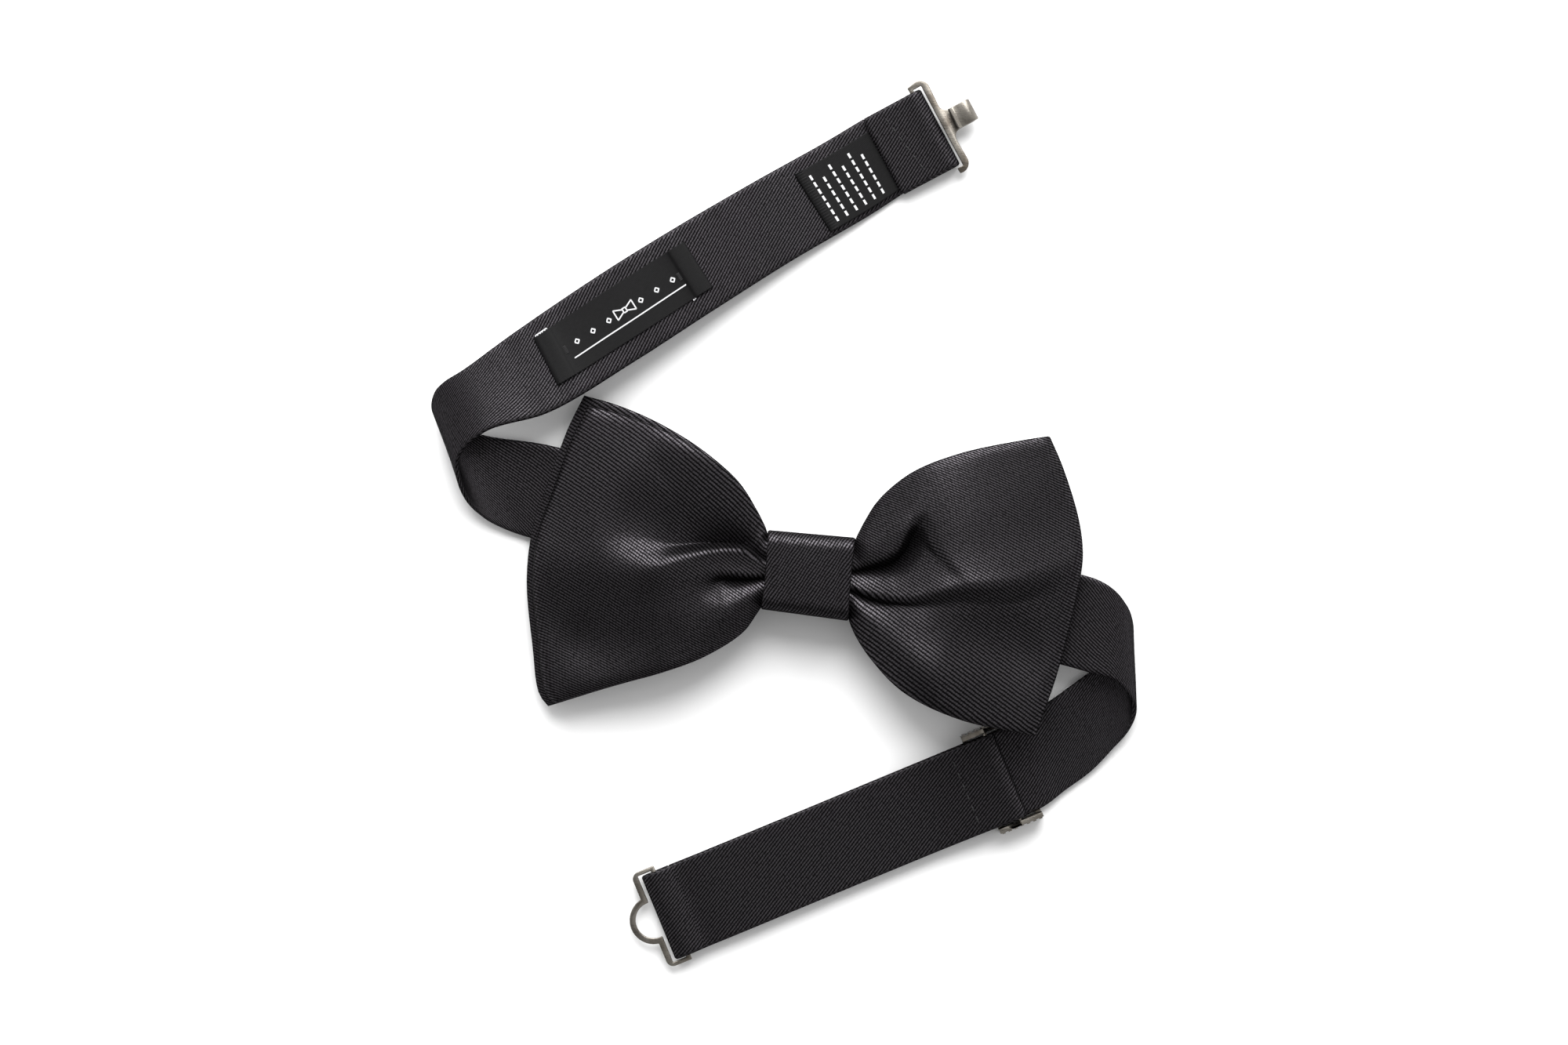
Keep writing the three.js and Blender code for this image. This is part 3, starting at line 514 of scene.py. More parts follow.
def satin_material():
    """Black duchesse satin: a steep twill broken into short floats that catch the light unevenly."""
    material, tree, shader = new_material(
        "black_satin", Metallic=0.8, Specular_IOR_Level=0.1, Specular_Tint=(0.2, 0.2, 0.2, 1)
    )
    twill = weave_stripes(tree, TWILL_ANGLE, TWILL_PITCH, wobble=0.7)
    floats = sharpened(tree, cloth_noise(tree, 2.6, 1.0, (1.8, 0.9, 1), 90 - TWILL_ANGLE), 0.3, 0.7)
    uneven = scaled(tree, floats, 0.8, 0.55)
    crossing = weave_stripes(tree, TWILL_ANGLE + 75, TWILL_PITCH, wobble=0.7)
    crossed = scaled(tree, crossing, 0.5, 0.75)
    broken = math_node(tree, "MULTIPLY", math_node(tree, "MULTIPLY", twill, uneven), crossed)
    paint(tree, shader, broken, (0.0024, 0.0022, 0.0024), (0.052, 0.0484, 0.0529), 0.12, 1.3)
    tree.links.new(scaled(tree, broken, -0.2, 0.52), shader.inputs["Roughness"])
    add_bump(tree, shader, broken, 0.00001)
    return material


def ribbon_material():
    """The labels' smooth black ribbon, with its fine cross rib."""
    material, tree, shader = new_material("black_ribbon", Roughness=0.45, Specular_IOR_Level=0.1)
    grain = mingled(tree, weave_stripes(tree, 0, 0.22), weave_stripes(tree, 90, 0.16))
    tone = mingled(tree, grain, cloth_noise(tree, 2.5, 2.0, (3, 0.7, 1)))
    paint(tree, shader, tone, (0.0008, 0.0008, 0.0009), (0.006, 0.0058, 0.0062))
    add_bump(tree, shader, grain, 0.00003, 0.6)
    return material


def thread_material(name, dark, light):
    """Twisted sewing thread."""
    material, tree, shader = new_material(name, Roughness=0.55, Specular_IOR_Level=0.2)
    tone = mingled(tree, weave_stripes(tree, 30, 0.25), cloth_noise(tree, 6.0, 2.0))
    paint(tree, shader, tone, dark, light)
    add_bump(tree, shader, tone, 0.00005, 0.6)
    return material


def interlining_material():
    """Unbleached stiff interlining and lining, a plain open weave."""
    material, tree, shader = new_material("interlining", Roughness=0.85, Sheen_Weight=0.2)
    fibres = object_noise(tree, 2600, 3.0, (1, 0.3, 1))
    cross = object_noise(tree, 2600, 3.0, (0.3, 1, 1))
    tone = math_node(tree, "MULTIPLY", math_node(tree, "ADD", fibres, cross), 0.5)
    paint(tree, shader, tone, (0.02, 0.02, 0.022), (0.07, 0.07, 0.075))
    add_bump(tree, shader, tone, 0.00008, 0.6)
    return material


def steel_material():
    """Nickel-plated stamped steel: warm, brushed along one way, worn a little darker in places."""
    material, tree, shader = new_material("nickel_steel", Metallic=1.0)
    brushed = object_noise(tree, 900, 4.0, (1, 9, 4))
    stains = object_noise(tree, 260, 3.0)
    paint(tree, shader, stains, (0.1, 0.087, 0.073), (0.21, 0.195, 0.172), 0.3, 0.62)
    tree.links.new(scaled(tree, brushed, 0.28, 0.16), shader.inputs["Roughness"])
    add_bump(tree, shader, brushed, 0.00003, 0.5)
    return material


def floor_material():
    material, tree, shader = new_material("pale_floor", Roughness=0.9, Specular_IOR_Level=0.1)
    paint(tree, shader, object_noise(tree, 6, 2.0), (0.86, 0.86, 0.86), (0.88, 0.88, 0.88))
    return material


SATIN_CLOTH = satin_material()
RIBBON = ribbon_material()
INTERLINING = interlining_material()
STEEL = steel_material()
BLACK_THREAD = thread_material("black_thread", (0.003, 0.003, 0.0031), (0.03, 0.0295, 0.0305))
WHITE_THREAD = thread_material("white_thread", (0.4, 0.4, 0.41), (0.66, 0.66, 0.67))


# ---- the bow ----
def beside(line, xy):
    """For each place: the nearest mark on a line, its distance, and how far the place is to the left."""
    distance = np.linalg.norm(xy[..., None, :] - line[:, :2], axis=-1)
    nearest = distance.argmin(axis=-1)
    near = np.take_along_axis(distance, nearest[..., None], -1)[..., 0]
    ahead = unit(np.gradient(line[:, :2], axis=0))[nearest]
    away = xy - line[nearest, :2]
    return nearest, near, ahead[..., 0] * away[..., 1] - ahead[..., 1] * away[..., 0]


class Wing:
    """One wing's plan and heights, for u from the knot's middle outwards and v upwards."""

    def __init__(self, facts):
        self.facts = facts
        self.side = facts["side"]
        self.top, self.bottom, self.outer = (Curve(facts[key]) for key in ("top", "bottom", "outer"))
        dense = np.linspace(0, 1, 90)
        self.swells = [Curve(line).along(dense) for line in facts["swells"].values()]
        self.lips = [(lip["high"], Curve(lip["line"]).along(dense)) for lip in facts["lips"].values()]

    def plan(self, u, v):
        low, high = self.bottom.along(u), self.top.along(u)
        v = v[..., None]
        u = u[..., None]
        inner = mix(self.bottom.points[1], self.top.points[1], v)
        outer = mix(self.bottom.points[-2], self.top.points[-2], v)
        return mix(low, high, v) + mix(inner, self.outer.along(v[..., 0]), u) - mix(inner, outer, u)

    def pressed(self, xy):
        """How far the folds lift or lower the front ply at each place."""
        total = np.zeros(xy.shape[:-1])
        for line in self.swells:
            nearest, distance, _ = beside(line, xy)
            height, width = line[nearest, 2], line[nearest, 3]
            total += height * np.exp(-((distance / width) ** 2))
        for high, line in self.lips:
            nearest, distance, side = beside(line, xy)
            rise, drop, reach, softness = (line[nearest, k] for k in range(2, 6))
            over = smooth(0.5 + high * side / softness / 2)
            total += over * rise * np.exp(-((distance / LIP_WIDTH) ** 2))
            total -= (1 - over) * drop * np.exp(-((distance / reach) ** 1.4))
        return total

    def share(self, u):
        return smooth((u - KNOT_SHARE) / (1 - KNOT_SHARE))

    def back_height(self, u, v):
        share = self.share(u)
        across = 2 * v - 1
        bowed = 0.6 * np.sin(pi * share) * across**2
        return mix(LOOP_BACK_Z, self.facts["loop_back_z"], share) + bowed

    def front_height(self, u, v):
        share = self.share(u)
        across = 2 * v - 1
        fall = np.where(across > 0, self.facts["fall"]["top"], self.facts["fall"]["bottom"])
        rise = CROWN * np.sin(pi * share) * (1 - fall * across**2)
        flat = mix(LOOP_FRONT_Z, self.facts["loop_back_z"] + FOLD_GAP, share)
        gathered = -GATHER_DEPTH * across**4 * (1 - share) ** 2
        rolled = -0.3 * smooth((np.abs(across) - 0.94) / 0.06) * smooth(share * 4)
        return flat + rise + gathered + rolled + self.pressed(self.plan(u, v)) + self.crumple(u, v)

    def crumple(self, u, v):
        """The slight unevenness of hand-sewn cloth."""
        x, y = u * WING_LENGTH, (v - 0.5) * 60
        waves = np.sin(x / 3.7 + 1.3 * np.sin(y / 6.1)) * np.sin(y / 4.3 + self.side)
        return 0.09 * waves * self.share(u)

    def placed(self, u, v, z):
        xy = self.plan(u, v)
        return joined(xy[..., 0] * self.side, xy[..., 1], z)


def wing_half(wing, across):
    """Half of the loop's strip: out along the back ply, round the outer fold and in along the front."""
    flat_share = 1 - FOLD_GAP / 2 / WING_LENGTH
    out = np.linspace(0.006, flat_share, 44)
    back_u, back_v = np.meshgrid(out, across, indexing="ij")
    back = wing.placed(back_u, back_v, wing.back_height(back_u, back_v))

    angles = np.linspace(-pi / 2, pi / 2, 15)[1:-1]
    turn, turn_v = np.meshgrid(angles, across, indexing="ij")
    edge = np.full_like(turn, flat_share)
    low, high = wing.back_height(edge, turn_v), wing.front_height(edge, turn_v)
    height = (low + high) / 2 + (high - low) / 2 * np.sin(turn)
    fold = wing.placed(flat_share + (1 - flat_share) * np.cos(turn), turn_v, height)

    front_u, front_v = np.meshgrid(np.linspace(flat_share, 0, 150), across, indexing="ij")
    front = wing.placed(front_u, front_v, softened(wing.front_height(front_u, front_v), 2))
    return np.concatenate([back, fold, front])


def bow_loop(left_wing, right_wing):
    across = np.linspace(CLOTH_EDGE, 1 - CLOTH_EDGE, 121)
    left = wing_half(left_wing, across)
    right = wing_half(right_wing, across)
    grid = np.concatenate([left, right[-2::-1]])
    piece = cloth("bow_loop_satin", grid, SATIN, SATIN_CLOTH, weave=weave_in_plan(grid, len(left) - 1))
    stand_in(piece, "bow", "bow_loop")


def bow_back_piece(left_wing, right_wing):
    across = np.linspace(CLOTH_EDGE, 1 - CLOTH_EDGE, 41)

    def half(wing):
        u, v = np.meshgrid(np.linspace(0, 1, 50), across, indexing="ij")
        share = wing.share(u)
        grow_x, grow_y = wing.facts["back_piece_growth"]
        xy = wing.plan(u, v)
        x = xy[..., 0] * (1 + grow_x * share) * wing.side
        y = xy[..., 1] * (1 + np.where(xy[..., 1] > 0, grow_y, grow_x) * share)
        z = mix(BACK_PIECE_Z, wing.facts["back_piece_z"], share)
        return joined(x, y, z + 0.12 * np.sin(x / 4 + y / 6) * share)

    grid = np.concatenate([half(left_wing)[::-1], half(right_wing)[1:]])
    weave = weave_in_plan(grid, len(grid) // 2)
    piece = cloth("bow_back_piece_satin", grid, SATIN, SATIN_CLOTH, weave=weave)
    stand_in(piece, "bow", "bow_back_piece")


def stiffener(name, wing):
    u, v = np.meshgrid(np.linspace(0.34, 0.87, 40), np.linspace(0.08, 0.92, 40), indexing="ij")
    grid = wing.placed(u, v, wing.front_height(u, v))
    # The plan is mirrored on the left, so the inside of the ply is on the other side of the grid there.
    inwards = -wing.side * (HALF_SATIN + 0.5)
    grid = grid + grid_normals(grid) * inwards
    piece = cloth(f"{name}_interlining", grid, STIFFENER, INTERLINING)
    stand_in(piece, "bow", name)


# ---- the knot ----
def knot_outline(inset, steps):
    """One turn round the knot in Y and Z, from the seam on its back up and over the front."""
    front = KNOT_FRONT_RADIUS - inset
    back = max(KNOT_BACK_RADIUS - inset, 0.3)
    half = KNOT["half_height"] - inset
    high = KNOT["depth"] - inset
    corners = [(half - back, inset + back, back, -90), (half - front, high - front, front, 0),
               (-half + front, high - front, front, 90), (-half + back, inset + back, back, 180)]
    points = [(KNOT_SEAM_Y + KNOT_SEAM_GAP / 2, inset)]
    for y, z, radius, start in corners:
        for angle in np.radians(np.linspace(start, start + 90, 8)):
            points.append((y + radius * cos(angle), z + radius * sin(angle)))
    points.append((KNOT_SEAM_Y - KNOT_SEAM_GAP / 2, inset))
    path = np.array(points)
    return at_lengths(path, np.linspace(0, travel(path)[-1], steps))


def knot_ring(inset, half_width, steps, columns):
    y, z = (column[:, None] for column in knot_outline(inset, steps).T)
    share = np.linspace(-1, 1, columns)[None, :]
    middle = np.clip(1 - (y / KNOT["half_height"]) ** 2, 0, 1)
    x = share * (half_width - 0.3 * middle)
    # The wrap is pulled tighter along its lower edge at the left.
    tightened = y * np.where(y < 0, 1 - 0.1 * np.clip(0.5 - share / 2, 0, 1), 1.0)
    front = smooth((z - KNOT["depth"] / 2) / 5)
    hem = 0.22 * smooth((np.abs(x) - 6.2) / 1.0) * front
    crown = 0.25 * middle * front * (1 - (x / half_width) ** 2)
    creases = 0.07 * np.sin(x * 1.7 + 0.5 * np.sin(y / 3)) * front
    height = z - 0.3 * front + hem + crown + creases
    return joined(x, tightened, height)


def knot():
    half_width = KNOT["width"] / 2
    wrap = KNOT["wrap"]
    grid = knot_ring(wrap / 2, half_width - wrap / 2, 150, 41)
    piece = cloth("knot_satin", grid, wrap, SATIN_CLOTH)
    stand_in(piece, "bow", "knot_wrap")

    inset = wrap + 0.12 + KNOT["lining"] / 2
    grid = knot_ring(inset, half_width - 1, 120, 21)
    piece = cloth("knot_lining_cloth", grid, KNOT["lining"], INTERLINING)
    stand_in(piece, "bow", "knot_lining")

    ends = []
    count = 12
    for i in range(count):
        x = ((i + 0.5) / count - 0.5) * (half_width * 2 - 2)
        ends.append([(x - 0.35, KNOT_SEAM_Y - 0.75, 0.02), (x + 0.35, KNOT_SEAM_Y + 0.75, 0.02)])
    piece = stitches("knot_seam_thread", ends, 0.15, 0.02, up=(0, 0, -1))
    stand_in(piece, "bow", "knot_seam_stitches")


# ---- the neckband ----
def to_bow(end, points):
    """Points in a fastener end's frame, as points in the bow's frame."""
    heading = radians(end["heading"])
    x = points[..., 0] * cos(heading) - points[..., 1] * sin(heading) + end["x"]
    y = points[..., 0] * sin(heading) + points[..., 1] * cos(heading) + end["y"]
    return joined(x, y, points[..., 2])


# The straight run to the eye, as (x, z) in the eye end's frame.
STRAIGHT_STATIONS = [(-84, SLIDING_Z), (-72, SLIDING_Z), (-11.5, 1.75), (-5, 0.6)]


class Neckband:
    """The band's middle surface, by station from the hook end and share of its width."""

    def __init__(self):
        pairs = [np.array(row).reshape(2, 3) for row in NECKBAND]
        for x, z in STRAIGHT_STATIONS:
            pairs.append(to_bow(EYE_END, np.array([(x, EYE_HALF_WIDTH, z), (x, -EYE_HALF_WIDTH, z)])))
        self.south = Curve([pair[0] for pair in pairs])
        self.north = Curve([pair[1] for pair in pairs])
        self.last = len(pairs) - 1
        self.marks = np.linspace(0, self.last, 1200)
        self.lengths = travel(self.point(self.marks, np.full(1200, 0.5)))

    def point(self, station, v):
        share = station / self.last
        return mix(self.south.at(share), self.north.at(share), v[..., None])

    def normal(self, station, v):
        step = 0.02
        along = self.point(station + step, v) - self.point(station - step, v)
        across = self.point(station, v + step) - self.point(station, v - step)
        return unit(np.cross(along, across))

    def length_at(self, station):
        return np.interp(station, self.marks, self.lengths)

    def station_at(self, length):
        return np.interp(length, self.lengths, self.marks)

    def stretch(self, start, end, step=0.8, columns=25):
        """The grid and weave coordinates of one stretch, with rows evenly spaced along it."""
        first, last = self.length_at(start), self.length_at(end)
        rows = max(int((last - first) / step), 8)
        lengths = np.linspace(first, last, rows)
        stations = self.station_at(lengths)
        stations[[0, -1]] = start, end
        edge = HALF_SATIN / (2 * EYE_HALF_WIDTH)
        length, v = np.meshgrid(lengths, np.linspace(edge, 1 - edge, columns), indexing="ij")
        station = np.repeat(stations[:, None], columns, axis=1)
        grid = self.point(station, v) + self.normal(station, v) * puckers(length, v)[..., None]
        across = (v - 0.5) * 2 * EYE_HALF_WIDTH
        return grid, joined(length, across)


def puckers(length, v):
    """The band's faint unevenness along its length, strongest at its two folded edges."""
    edge = (2 * v - 1) ** 2
    slow = np.sin(length / 5.3) + 0.6 * np.sin(length / 3.1 + 4 * v)
    quick = np.sin(length / 1.45 + 2 * np.sin(length / 7))
    return 0.07 * slow + 0.05 * quick * edge


BAND = Neckband()


def band_pieces():
    """Each stretch with the station where it ends and its node, then its body or what it bends between."""
    stretches = [
        ("neckband_left_arm", 5.2, "left_band", "left_arm"),
        ("neckband_left_fold", 12, "left_fold", "bow", "left_arm", (-76, 20, 1.5), (-76, 20, 8)),
        ("neckband_centre", 20, "centre_band", "bow"),
        ("neckband_right_fold", 26, "right_fold", "bow", "right_arm", (70, -12, 7), (70, -12, 1.4)),
        ("neckband_right_arm", 28, "right_band", "right_arm"),
        ("neckband_sliding", BAND.last, "sliding_band", "right_arm", "eye_carriage",
         on_eye_run(-84), on_eye_run(-5)),
    ]
    start = 0
    for name, end, node, body, *bend in stretches:
        grid, weave = BAND.stretch(start, end)
        start = end
        piece = cloth(name, grid, SATIN, SATIN_CLOTH, weave=weave)
        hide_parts(node)
        if bend:
            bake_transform(piece)
        else:
            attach(piece, body)


def on_eye_run(x):
    return tuple(to_bow(EYE_END, np.array([x, 0, 2.0])))


# ---- the strap's ends ----
def strap_grid(end, profile, half_width, first, last, step=0.35, columns=25):
    """A strap whose middle line follows a profile of (x, z) points, between two of the points."""
    path = Curve(profile)
    shares = np.linspace(first, last, 400) / path.segments
    line = path.at(shares)
    length = travel(line)[-1]
    even = np.linspace(0, length, max(int(length / step), 8))
    x, z = (column[:, None] for column in at_lengths(line, even).T)
    y = np.linspace(-half_width + HALF_SATIN, half_width - HALF_SATIN, columns)[None, :]
    return to_bow(end, joined(x, y, z)), joined(even[:, None], y)


def turn_round(x, z, radius, start, end, slack=0.0):
    """A turn of strap round a bar, standing off it outwards by the slack."""
    angles = np.radians(np.linspace(start, end, 7))
    return [(x + cos(a) * (radius + slack), z + sin(a) * radius) for a in angles]


def hook_end():
    profile = [(-HOOK_HEM, 0.7), (-HOOK_HEM / 2, 0.65)]
    profile += turn_round(BAR_X, BAR_Z, END_LOOP_RADIUS, -90, 90)
    profile += [(-5.3, 3.2), (-HOOK_HEM - HOOK_HEM_OVERLAP, 2.7)]
    grid, weave = strap_grid(HOOK_END, profile, HOOK_HALF_WIDTH, 0, len(profile) - 1)
    piece = cloth("hook_end_satin", grid, SATIN, SATIN_CLOTH, weave=weave, thinned=(-1,))
    stand_in(piece, "left_arm", "hook_end_loop")
    hem_thread("hook_hem_thread", HOOK_END, (-9.3, 7.4, 3.44), (-7.0, -7.0, 3.52), "left_arm",
               "hook_hem_stitches")


def hem_thread(name, end, start, finish, body, node):
    """A row of dashes sewn across the strap in an end's frame."""
    start, finish = np.array(start), np.array(finish)
    count = 6
    shares = [np.array([[i + 0.14], [i + 0.8]]) / count for i in range(count)]
    piece = stitches(name, [to_bow(end, mix(start, finish, share)) for share in shares], 0.17, 0.06)
    stand_in(piece, body, node)


def eye_run_profile():
    """One line from under the eye, round its bar, back above the band and round the adjuster's bar."""
    hem_z = BAR_Z + END_LOOP_RADIUS - 0.6
    under_z = SLIDING_Z + SATIN + PLY_GAP
    top_z = under_z + SATIN + PLY_GAP
    eye = [(-4.7, 0.6), (-3, 0.6)] + turn_round(BAR_X, BAR_Z, END_LOOP_RADIUS, -90, 90, slack=0.9)
    eye += [(-3.6, hem_z + 0.45), (-5.7, hem_z)]
    band = [(-12, 3.1), (ADJUSTER_HEM_X + 20, 3), (ADJUSTER_HEM_X + 8, 3.4), (ADJUSTER_HEM_X, top_z)]
    adjuster = [(ADJUSTER_X + 4, 5.3)]
    adjuster += turn_round(ADJUSTER_X, ADJUSTER_BAR_Z, ADJUSTER_LOOP_RADIUS, 90, 270)
    adjuster += [(ADJUSTER_X + 4, under_z), (ADJUSTER_HEM_X, under_z)]
    first_split = len(eye) - 1
    return eye + band + adjuster, first_split, first_split + len(band)


def eye_end():
    profile, eye_split, adjuster_split = eye_run_profile()
    rows = [
        ("eye_end_satin", 0, eye_split, "eye_end_loop", 0.0189),
        ("return_band_satin", eye_split, adjuster_split, "return_band", 0.0194),
        ("adjuster_end_satin", adjuster_split, len(profile) - 1, "adjuster_end_loop", 0.0194),
    ]
    for name, first, last, node, width in rows:
        grid, weave = strap_grid(EYE_END, profile, EYE_HALF_WIDTH, first, last)
        piece = cloth(name, grid, SATIN, SATIN_CLOTH, weave=weave)
        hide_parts(node)
        if name == "return_band_satin":
            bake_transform(piece)
        else:
            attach(piece, "eye_carriage" if name == "eye_end_satin" else "adjuster")
    seam_x = ADJUSTER_HEM_X - 1
    hem_thread("adjuster_hem_thread", EYE_END, (seam_x, 7.6, 5.1), (seam_x, -7.6, 5.1), "adjuster",
               "adjuster_hem_stitches")


# ---- the labels ----
class Label:
    """A label on the band's upturned face: millimetres from its left end and from its south edge."""

    def __init__(self, facts):
        self.facts = facts
        self.left = BAND.length_at(facts["to"])
        self.length = self.left - BAND.length_at(facts["from"])
        station = np.array([(facts["from"] + facts["to"]) / 2])
        low, high = (BAND.point(station, np.array([facts[key]])) for key in ("low", "high"))
        self.width = float(np.linalg.norm(high - low))

    def place(self, along, up, lift):
        along, up, lift = np.broadcast_arrays(np.asarray(along, float), up, lift)
        station = BAND.station_at(self.left - along)
        v = mix(self.facts["low"], self.facts["high"], up / self.width)
        return BAND.point(station, v) - BAND.normal(station, v) * lift[..., None]


def label_ribbon(name, label, profile, teeth, ribs=0.0):
    """A ribbon whose (along, lift) profile turns under at its ends, with toothed edges and a ribbed end."""
    path = Curve(profile)
    rows = int(path.length / 0.11)
    line = path.along(np.linspace(0, 1, rows))
    up = np.linspace(0.04, label.width - 0.04, 61)
    along = np.repeat(line[:, :1], len(up), axis=1)
    lift = np.repeat(line[:, 1:], len(up), axis=1)
    travelled = np.linspace(0, path.length, rows)[:, None]
    bite = teeth * (0.5 + 0.5 * np.sign(np.sin(travelled * 2 * pi / RIBBON_TOOTH)))
    edge = np.abs(2 * up / label.width - 1) > 0.985
    shrink = np.where(edge, bite * np.sign(label.width / 2 - up), 0)
    if ribs:
        near_end = smooth((2.0 - along) / 0.4)
        lift = lift + ribs * near_end * np.sin(up * 2 * pi / RIBBON_TOOTH)
    grid = label.place(along, up + shrink, lift)
    return cloth(name, grid, RIBBON_THICKNESS, RIBBON, weave=joined(travelled, up[None, :]))


def woven_marks(name, label, strokes, width, lift):
    """White woven strokes on a label: each is a list of (along, up) places."""
    vertices, faces, weave = [], [], []
    for stroke in strokes:
        line = np.array(stroke, float)
        steps = travel(line)
        count = max(int(steps[-1] / 0.5) + 1, len(line) * 2)
        marks = np.unique(np.concatenate([np.linspace(0, steps[-1], count), steps]))
        dense = at_lengths(line, marks)
        ahead = unit(np.gradient(dense, axis=0))
        aside = np.stack([-ahead[:, 1], ahead[:, 0]], axis=1) * width / 2
        corners = [
            label.place(*(dense + side * aside).T, lift + height)
            for side, height in ((1, MARK_HEIGHT), (-1, MARK_HEIGHT), (-1, 0), (1, 0))
        ]
        first = len(vertices)
        vertices += list(np.stack(corners, axis=1).reshape(-1, 3))
        weave += [(mark, side * width / 2) for mark in marks for side in (1, -1, -1, 1)]
        faces += ring_faces(first, len(marks), 4)
        faces.append(tuple(range(first, first + 4)))
        faces.append(tuple(reversed(range(len(vertices) - 4, len(vertices)))))
    piece = new_object(name, vertices, faces, weave, WHITE_THREAD)
    piece.data.shade_flat()
    return piece


def bow_motif(x, y):
    """A small plain bow in outline."""
    half, tall, knot_half = 2.3, 1.15, 0.4
    left = [(x - knot_half, y + 0.3), (x - half, y + tall), (x - half, y - tall), (x - knot_half, y - 0.3)]
    right = [(2 * x - px, py) for px, py in left]
    around = ((-1, -1), (-1, 1), (1, 1), (1, -1), (-1, -1))
    middle = [(x + a * knot_half, y + b * 0.5) for a, b in around]
    return [left, right, middle]


def diamond(x, y, size=0.55):
    return [(x - size, y), (x, y + size), (x + size, y), (x, y - size), (x - size, y)]


def brand_label():
    label = Label(BRAND_LABEL)
    end = label.length
    flap = 4.4
    left = [(flap, 0.66), (1, 0.64), (0.15, 0.76), (0.02, 1.0), (0.4, 1.24), (1.4, 1.36), (flap - 0.6, 1.34)]
    body = [(flap + 0.3, 1.02), (end / 2, 0.98), (end - flap - 0.3, 1.02)]
    right = [(end - along, lift) for along, lift in reversed(left)]
    piece = label_ribbon("maker_label_ribbon", label, left + body + right, 0.16)
    stand_in(piece, "left_arm", "brand_label")

    strokes = [[(5.8, 3.2), (end - 3.2, 3.6)]]
    for i in range(7):
        x = mix(8.0, end - 6.5, i / 6)
        strokes += bow_motif(x, 6.1) if i == 3 else [diamond(x, 6.0)]
    piece = woven_marks("maker_label_motif", label, strokes, 0.28, 1.07)
    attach(piece, "left_arm")

    corners = [[(0.5, label.width + 0.1), (3.6, label.width + 0.15)],
               [(end - 0.6, label.width - 0.4), (end - 0.2, label.width - 2.2)],
               [(end - 4.2, 0.1), (end - 5.0, -0.05)]]
    piece = woven_marks("maker_label_backing", label, corners, 0.5, 0.9)
    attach(piece, "left_arm")

    for side, place in (("left", 4.9), ("right", end - 4.9)):
        ends = []
        for i in range(6):
            up = label.width * 0.42 + i * 0.3
            ends.append(label.place([place - 0.5, place + 0.5], [up, up + 0.1], 1.12))
        piece = stitches(f"maker_label_tack_{side}", ends, 0.14, 0.05)
        stand_in(piece, "left_arm", f"brand_label_tack_{side}")


def care_label():
    label = Label(CARE_LABEL)
    end = label.length
    profile = [(2.2, 0.68), (0.7, 0.68), (0.1, 0.8), (0.03, 1.0), (0.5, 1.2), (1.6, 1.26), (2.4, 1.1),
               (end / 2, 1.06), (end, 1.0)]
    piece = label_ribbon("care_label_ribbon", label, profile, 0.1, ribs=0.07)
    stand_in(piece, "care_flap", "care_label")

    strokes = []
    rows, dashes, dash = 6, 7, 1.15
    for row in range(rows):
        x = mix(2.6, end - 3.4, row / (rows - 1))
        for k in range(dashes - row % 2):
            start = 1.2 + k * (label.width - 2.4) / dashes
            strokes.append([(x, start), (x, start + dash)])
    piece = woven_marks("care_label_marks", label, strokes, 0.5, 1.16)
    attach(piece, "care_flap")


# ---- the metal fittings ----
def fitting(node, body, width):
    """A stamped fitting: the CAD node's own shape with its edges rounded over."""
    mesh = bpy.data.meshes.new(f"{node}_steel")
    shape = bmesh.new()
    shape.from_mesh(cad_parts[node].data)
    bmesh.ops.remove_doubles(shape, verts=shape.verts, dist=0.002 * MM)
    bmesh.ops.dissolve_limit(shape, angle_limit=radians(1), verts=shape.verts, edges=shape.edges)
    shape.to_mesh(mesh)
    shape.free()
    mesh.materials.clear()
    mesh.materials.append(STEEL)
    mesh.shade_smooth()
    piece = added(f"{node}_steel", mesh)
    bevel = piece.modifiers.new("rounded edges", "BEVEL")
    bevel.width = width * MM
    bevel.segments = 3
    bevel.limit_method = "ANGLE"
    bevel.angle_limit = radians(35)
    bevel.harden_normals = True
    stand_in(piece, body, node)


def fittings():
    """Each CAD fitting with its body and how far its edges are rounded."""
    fitting("hook_plate", "hook", 0.16)
    fitting("eye_plate", "eye", 0.18)
    fitting("adjuster_frame", "adjuster", 0.14)
    fitting("adjuster_bar", "adjuster", 0.12)


def binding_thread():
    """The thread wound inside the knot keeps its CAD shape."""
    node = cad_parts["bow_binding_thread"]
    for slot in node.material_slots:
        slot.material = BLACK_THREAD


# ---- the scene ----
def add_camera():
    data = bpy.data.cameras.new("camera")
    data.lens = CAMERA_LENS
    camera = added("camera", data)
    distance = FRAME_WIDTH * CAMERA_LENS / data.sensor_width
    camera.location = Vector((*LOOK_AT, distance)) * MM
    camera.rotation_euler = (0, 0, radians(ROLL))
    bpy.context.scene.camera = camera


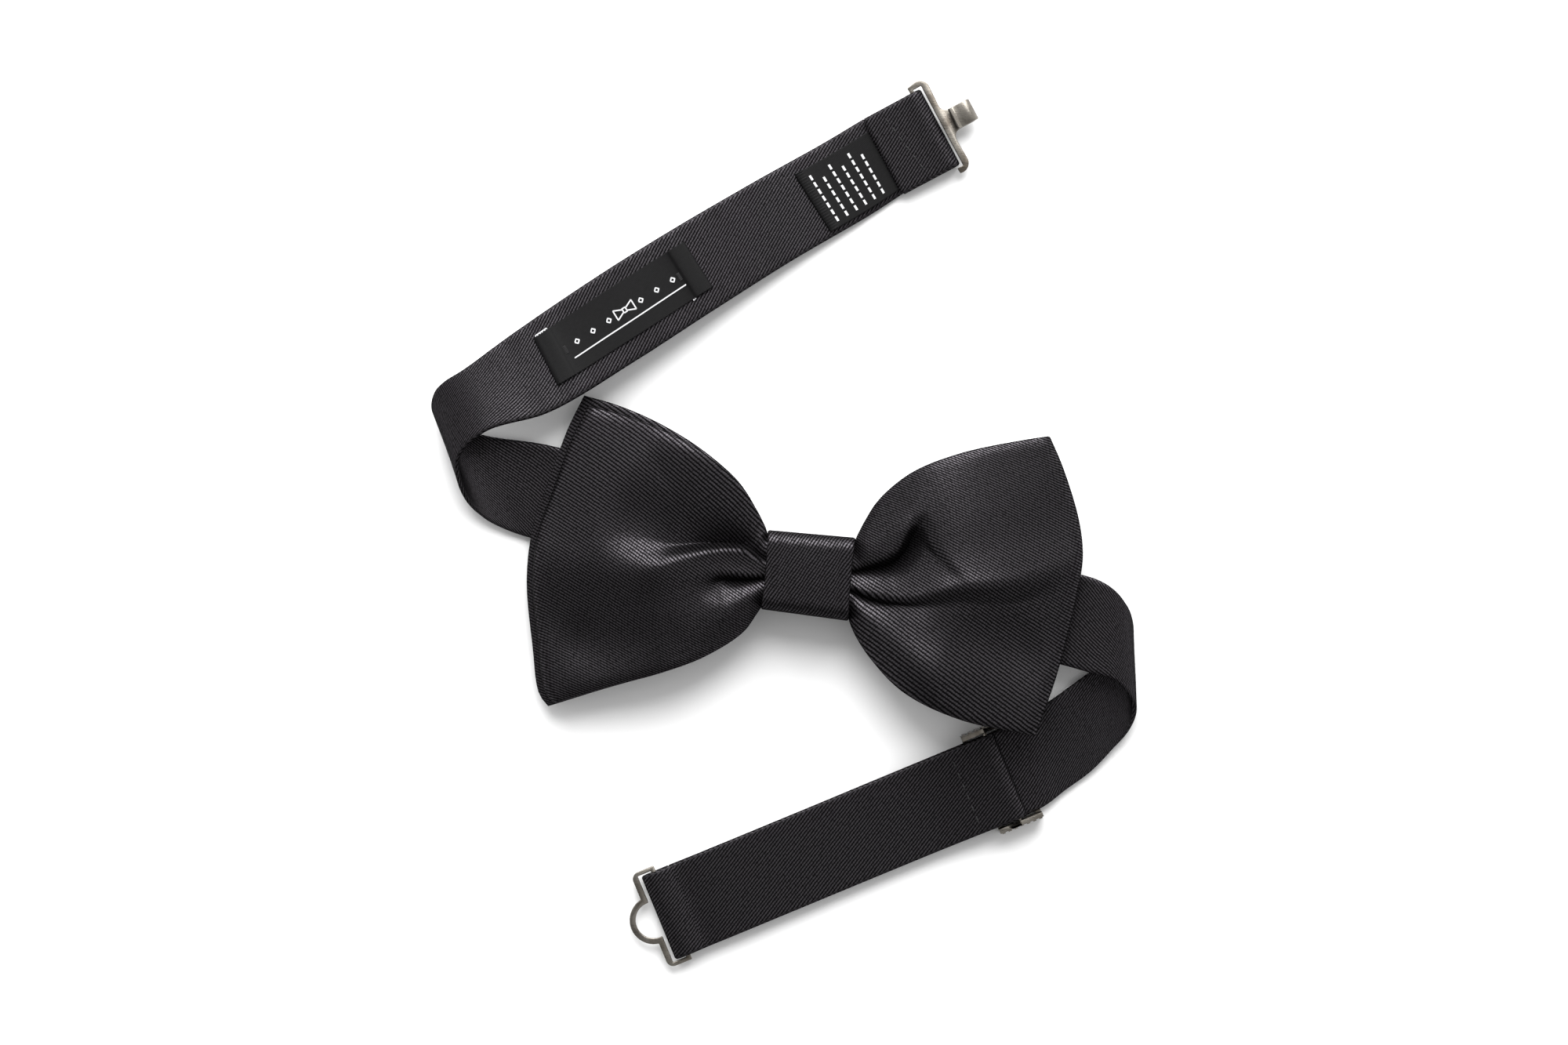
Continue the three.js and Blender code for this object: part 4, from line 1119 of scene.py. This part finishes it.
def add_light(name, bearing, elevation, distance, size, power):
    """An area light aimed at the bow, its bearing in degrees clockwise from the bow's +Y."""
    data = bpy.data.lights.new(name, "AREA")
    data.shape = "DISK"
    data.size = size
    data.energy = power
    light = added(name, data)
    turn, rise = radians(bearing), radians(elevation)
    away = Vector((sin(turn) * cos(rise), cos(turn) * cos(rise), sin(rise)))
    light.location = away * distance + Vector((*LOOK_AT, 0)) * MM
    light.rotation_euler = away.to_track_quat("Z", "Y").to_euler()


def add_floor():
    """A pale square just under the tie, its half side in metres."""
    half = 3.0
    mesh = bpy.data.meshes.new("floor")
    corners = [(-half, -half), (half, -half), (half, half), (-half, half)]
    mesh.from_pydata([(x, y, -0.0002) for x, y in corners], [], [(0, 1, 2, 3)])
    mesh.materials.append(floor_material())
    added("floor", mesh)


def add_world():
    """A white studio room: brightest low down in the north, dim overhead and in the south."""
    world = bpy.data.worlds.new("studio")
    world.use_nodes = True
    tree = world.node_tree
    background = tree.nodes["Background"]
    place = add_node(tree, "TexCoord").outputs["Generated"]
    inputs = {0: place, 1: ROOM_LIGHT["brightest"]}
    facing = add_node(tree, "VectorMath", inputs, operation="DOT_PRODUCT").outputs["Value"]
    inputs = {"Value": facing, "From Min": -1, "To Min": ROOM_LIGHT["least"], "To Max": ROOM_LIGHT["most"]}
    strength = add_node(tree, "MapRange", inputs).outputs["Result"]
    tree.links.new(strength, background.inputs["Strength"])
    background.inputs["Color"].default_value = (1, 1, 1, 1)
    bpy.context.scene.world = world


def add_studio():
    add_camera()
    add_floor()
    add_world()
    add_light("key", -5, 42, 1.1, 1.1, 23)
    add_light("fill", 140, 60, 1.3, 0.9, 1)
    bpy.context.scene.view_settings.view_transform = "Standard"


def build():
    left_wing, right_wing = Wing(LEFT_WING), Wing(RIGHT_WING)
    add_studio()
    bow_loop(left_wing, right_wing)
    bow_back_piece(left_wing, right_wing)
    stiffener("bow_stiffener_left", left_wing)
    stiffener("bow_stiffener_right", right_wing)
    binding_thread()
    knot()
    band_pieces()
    hook_end()
    eye_end()
    brand_label()
    care_label()
    fittings()


build()
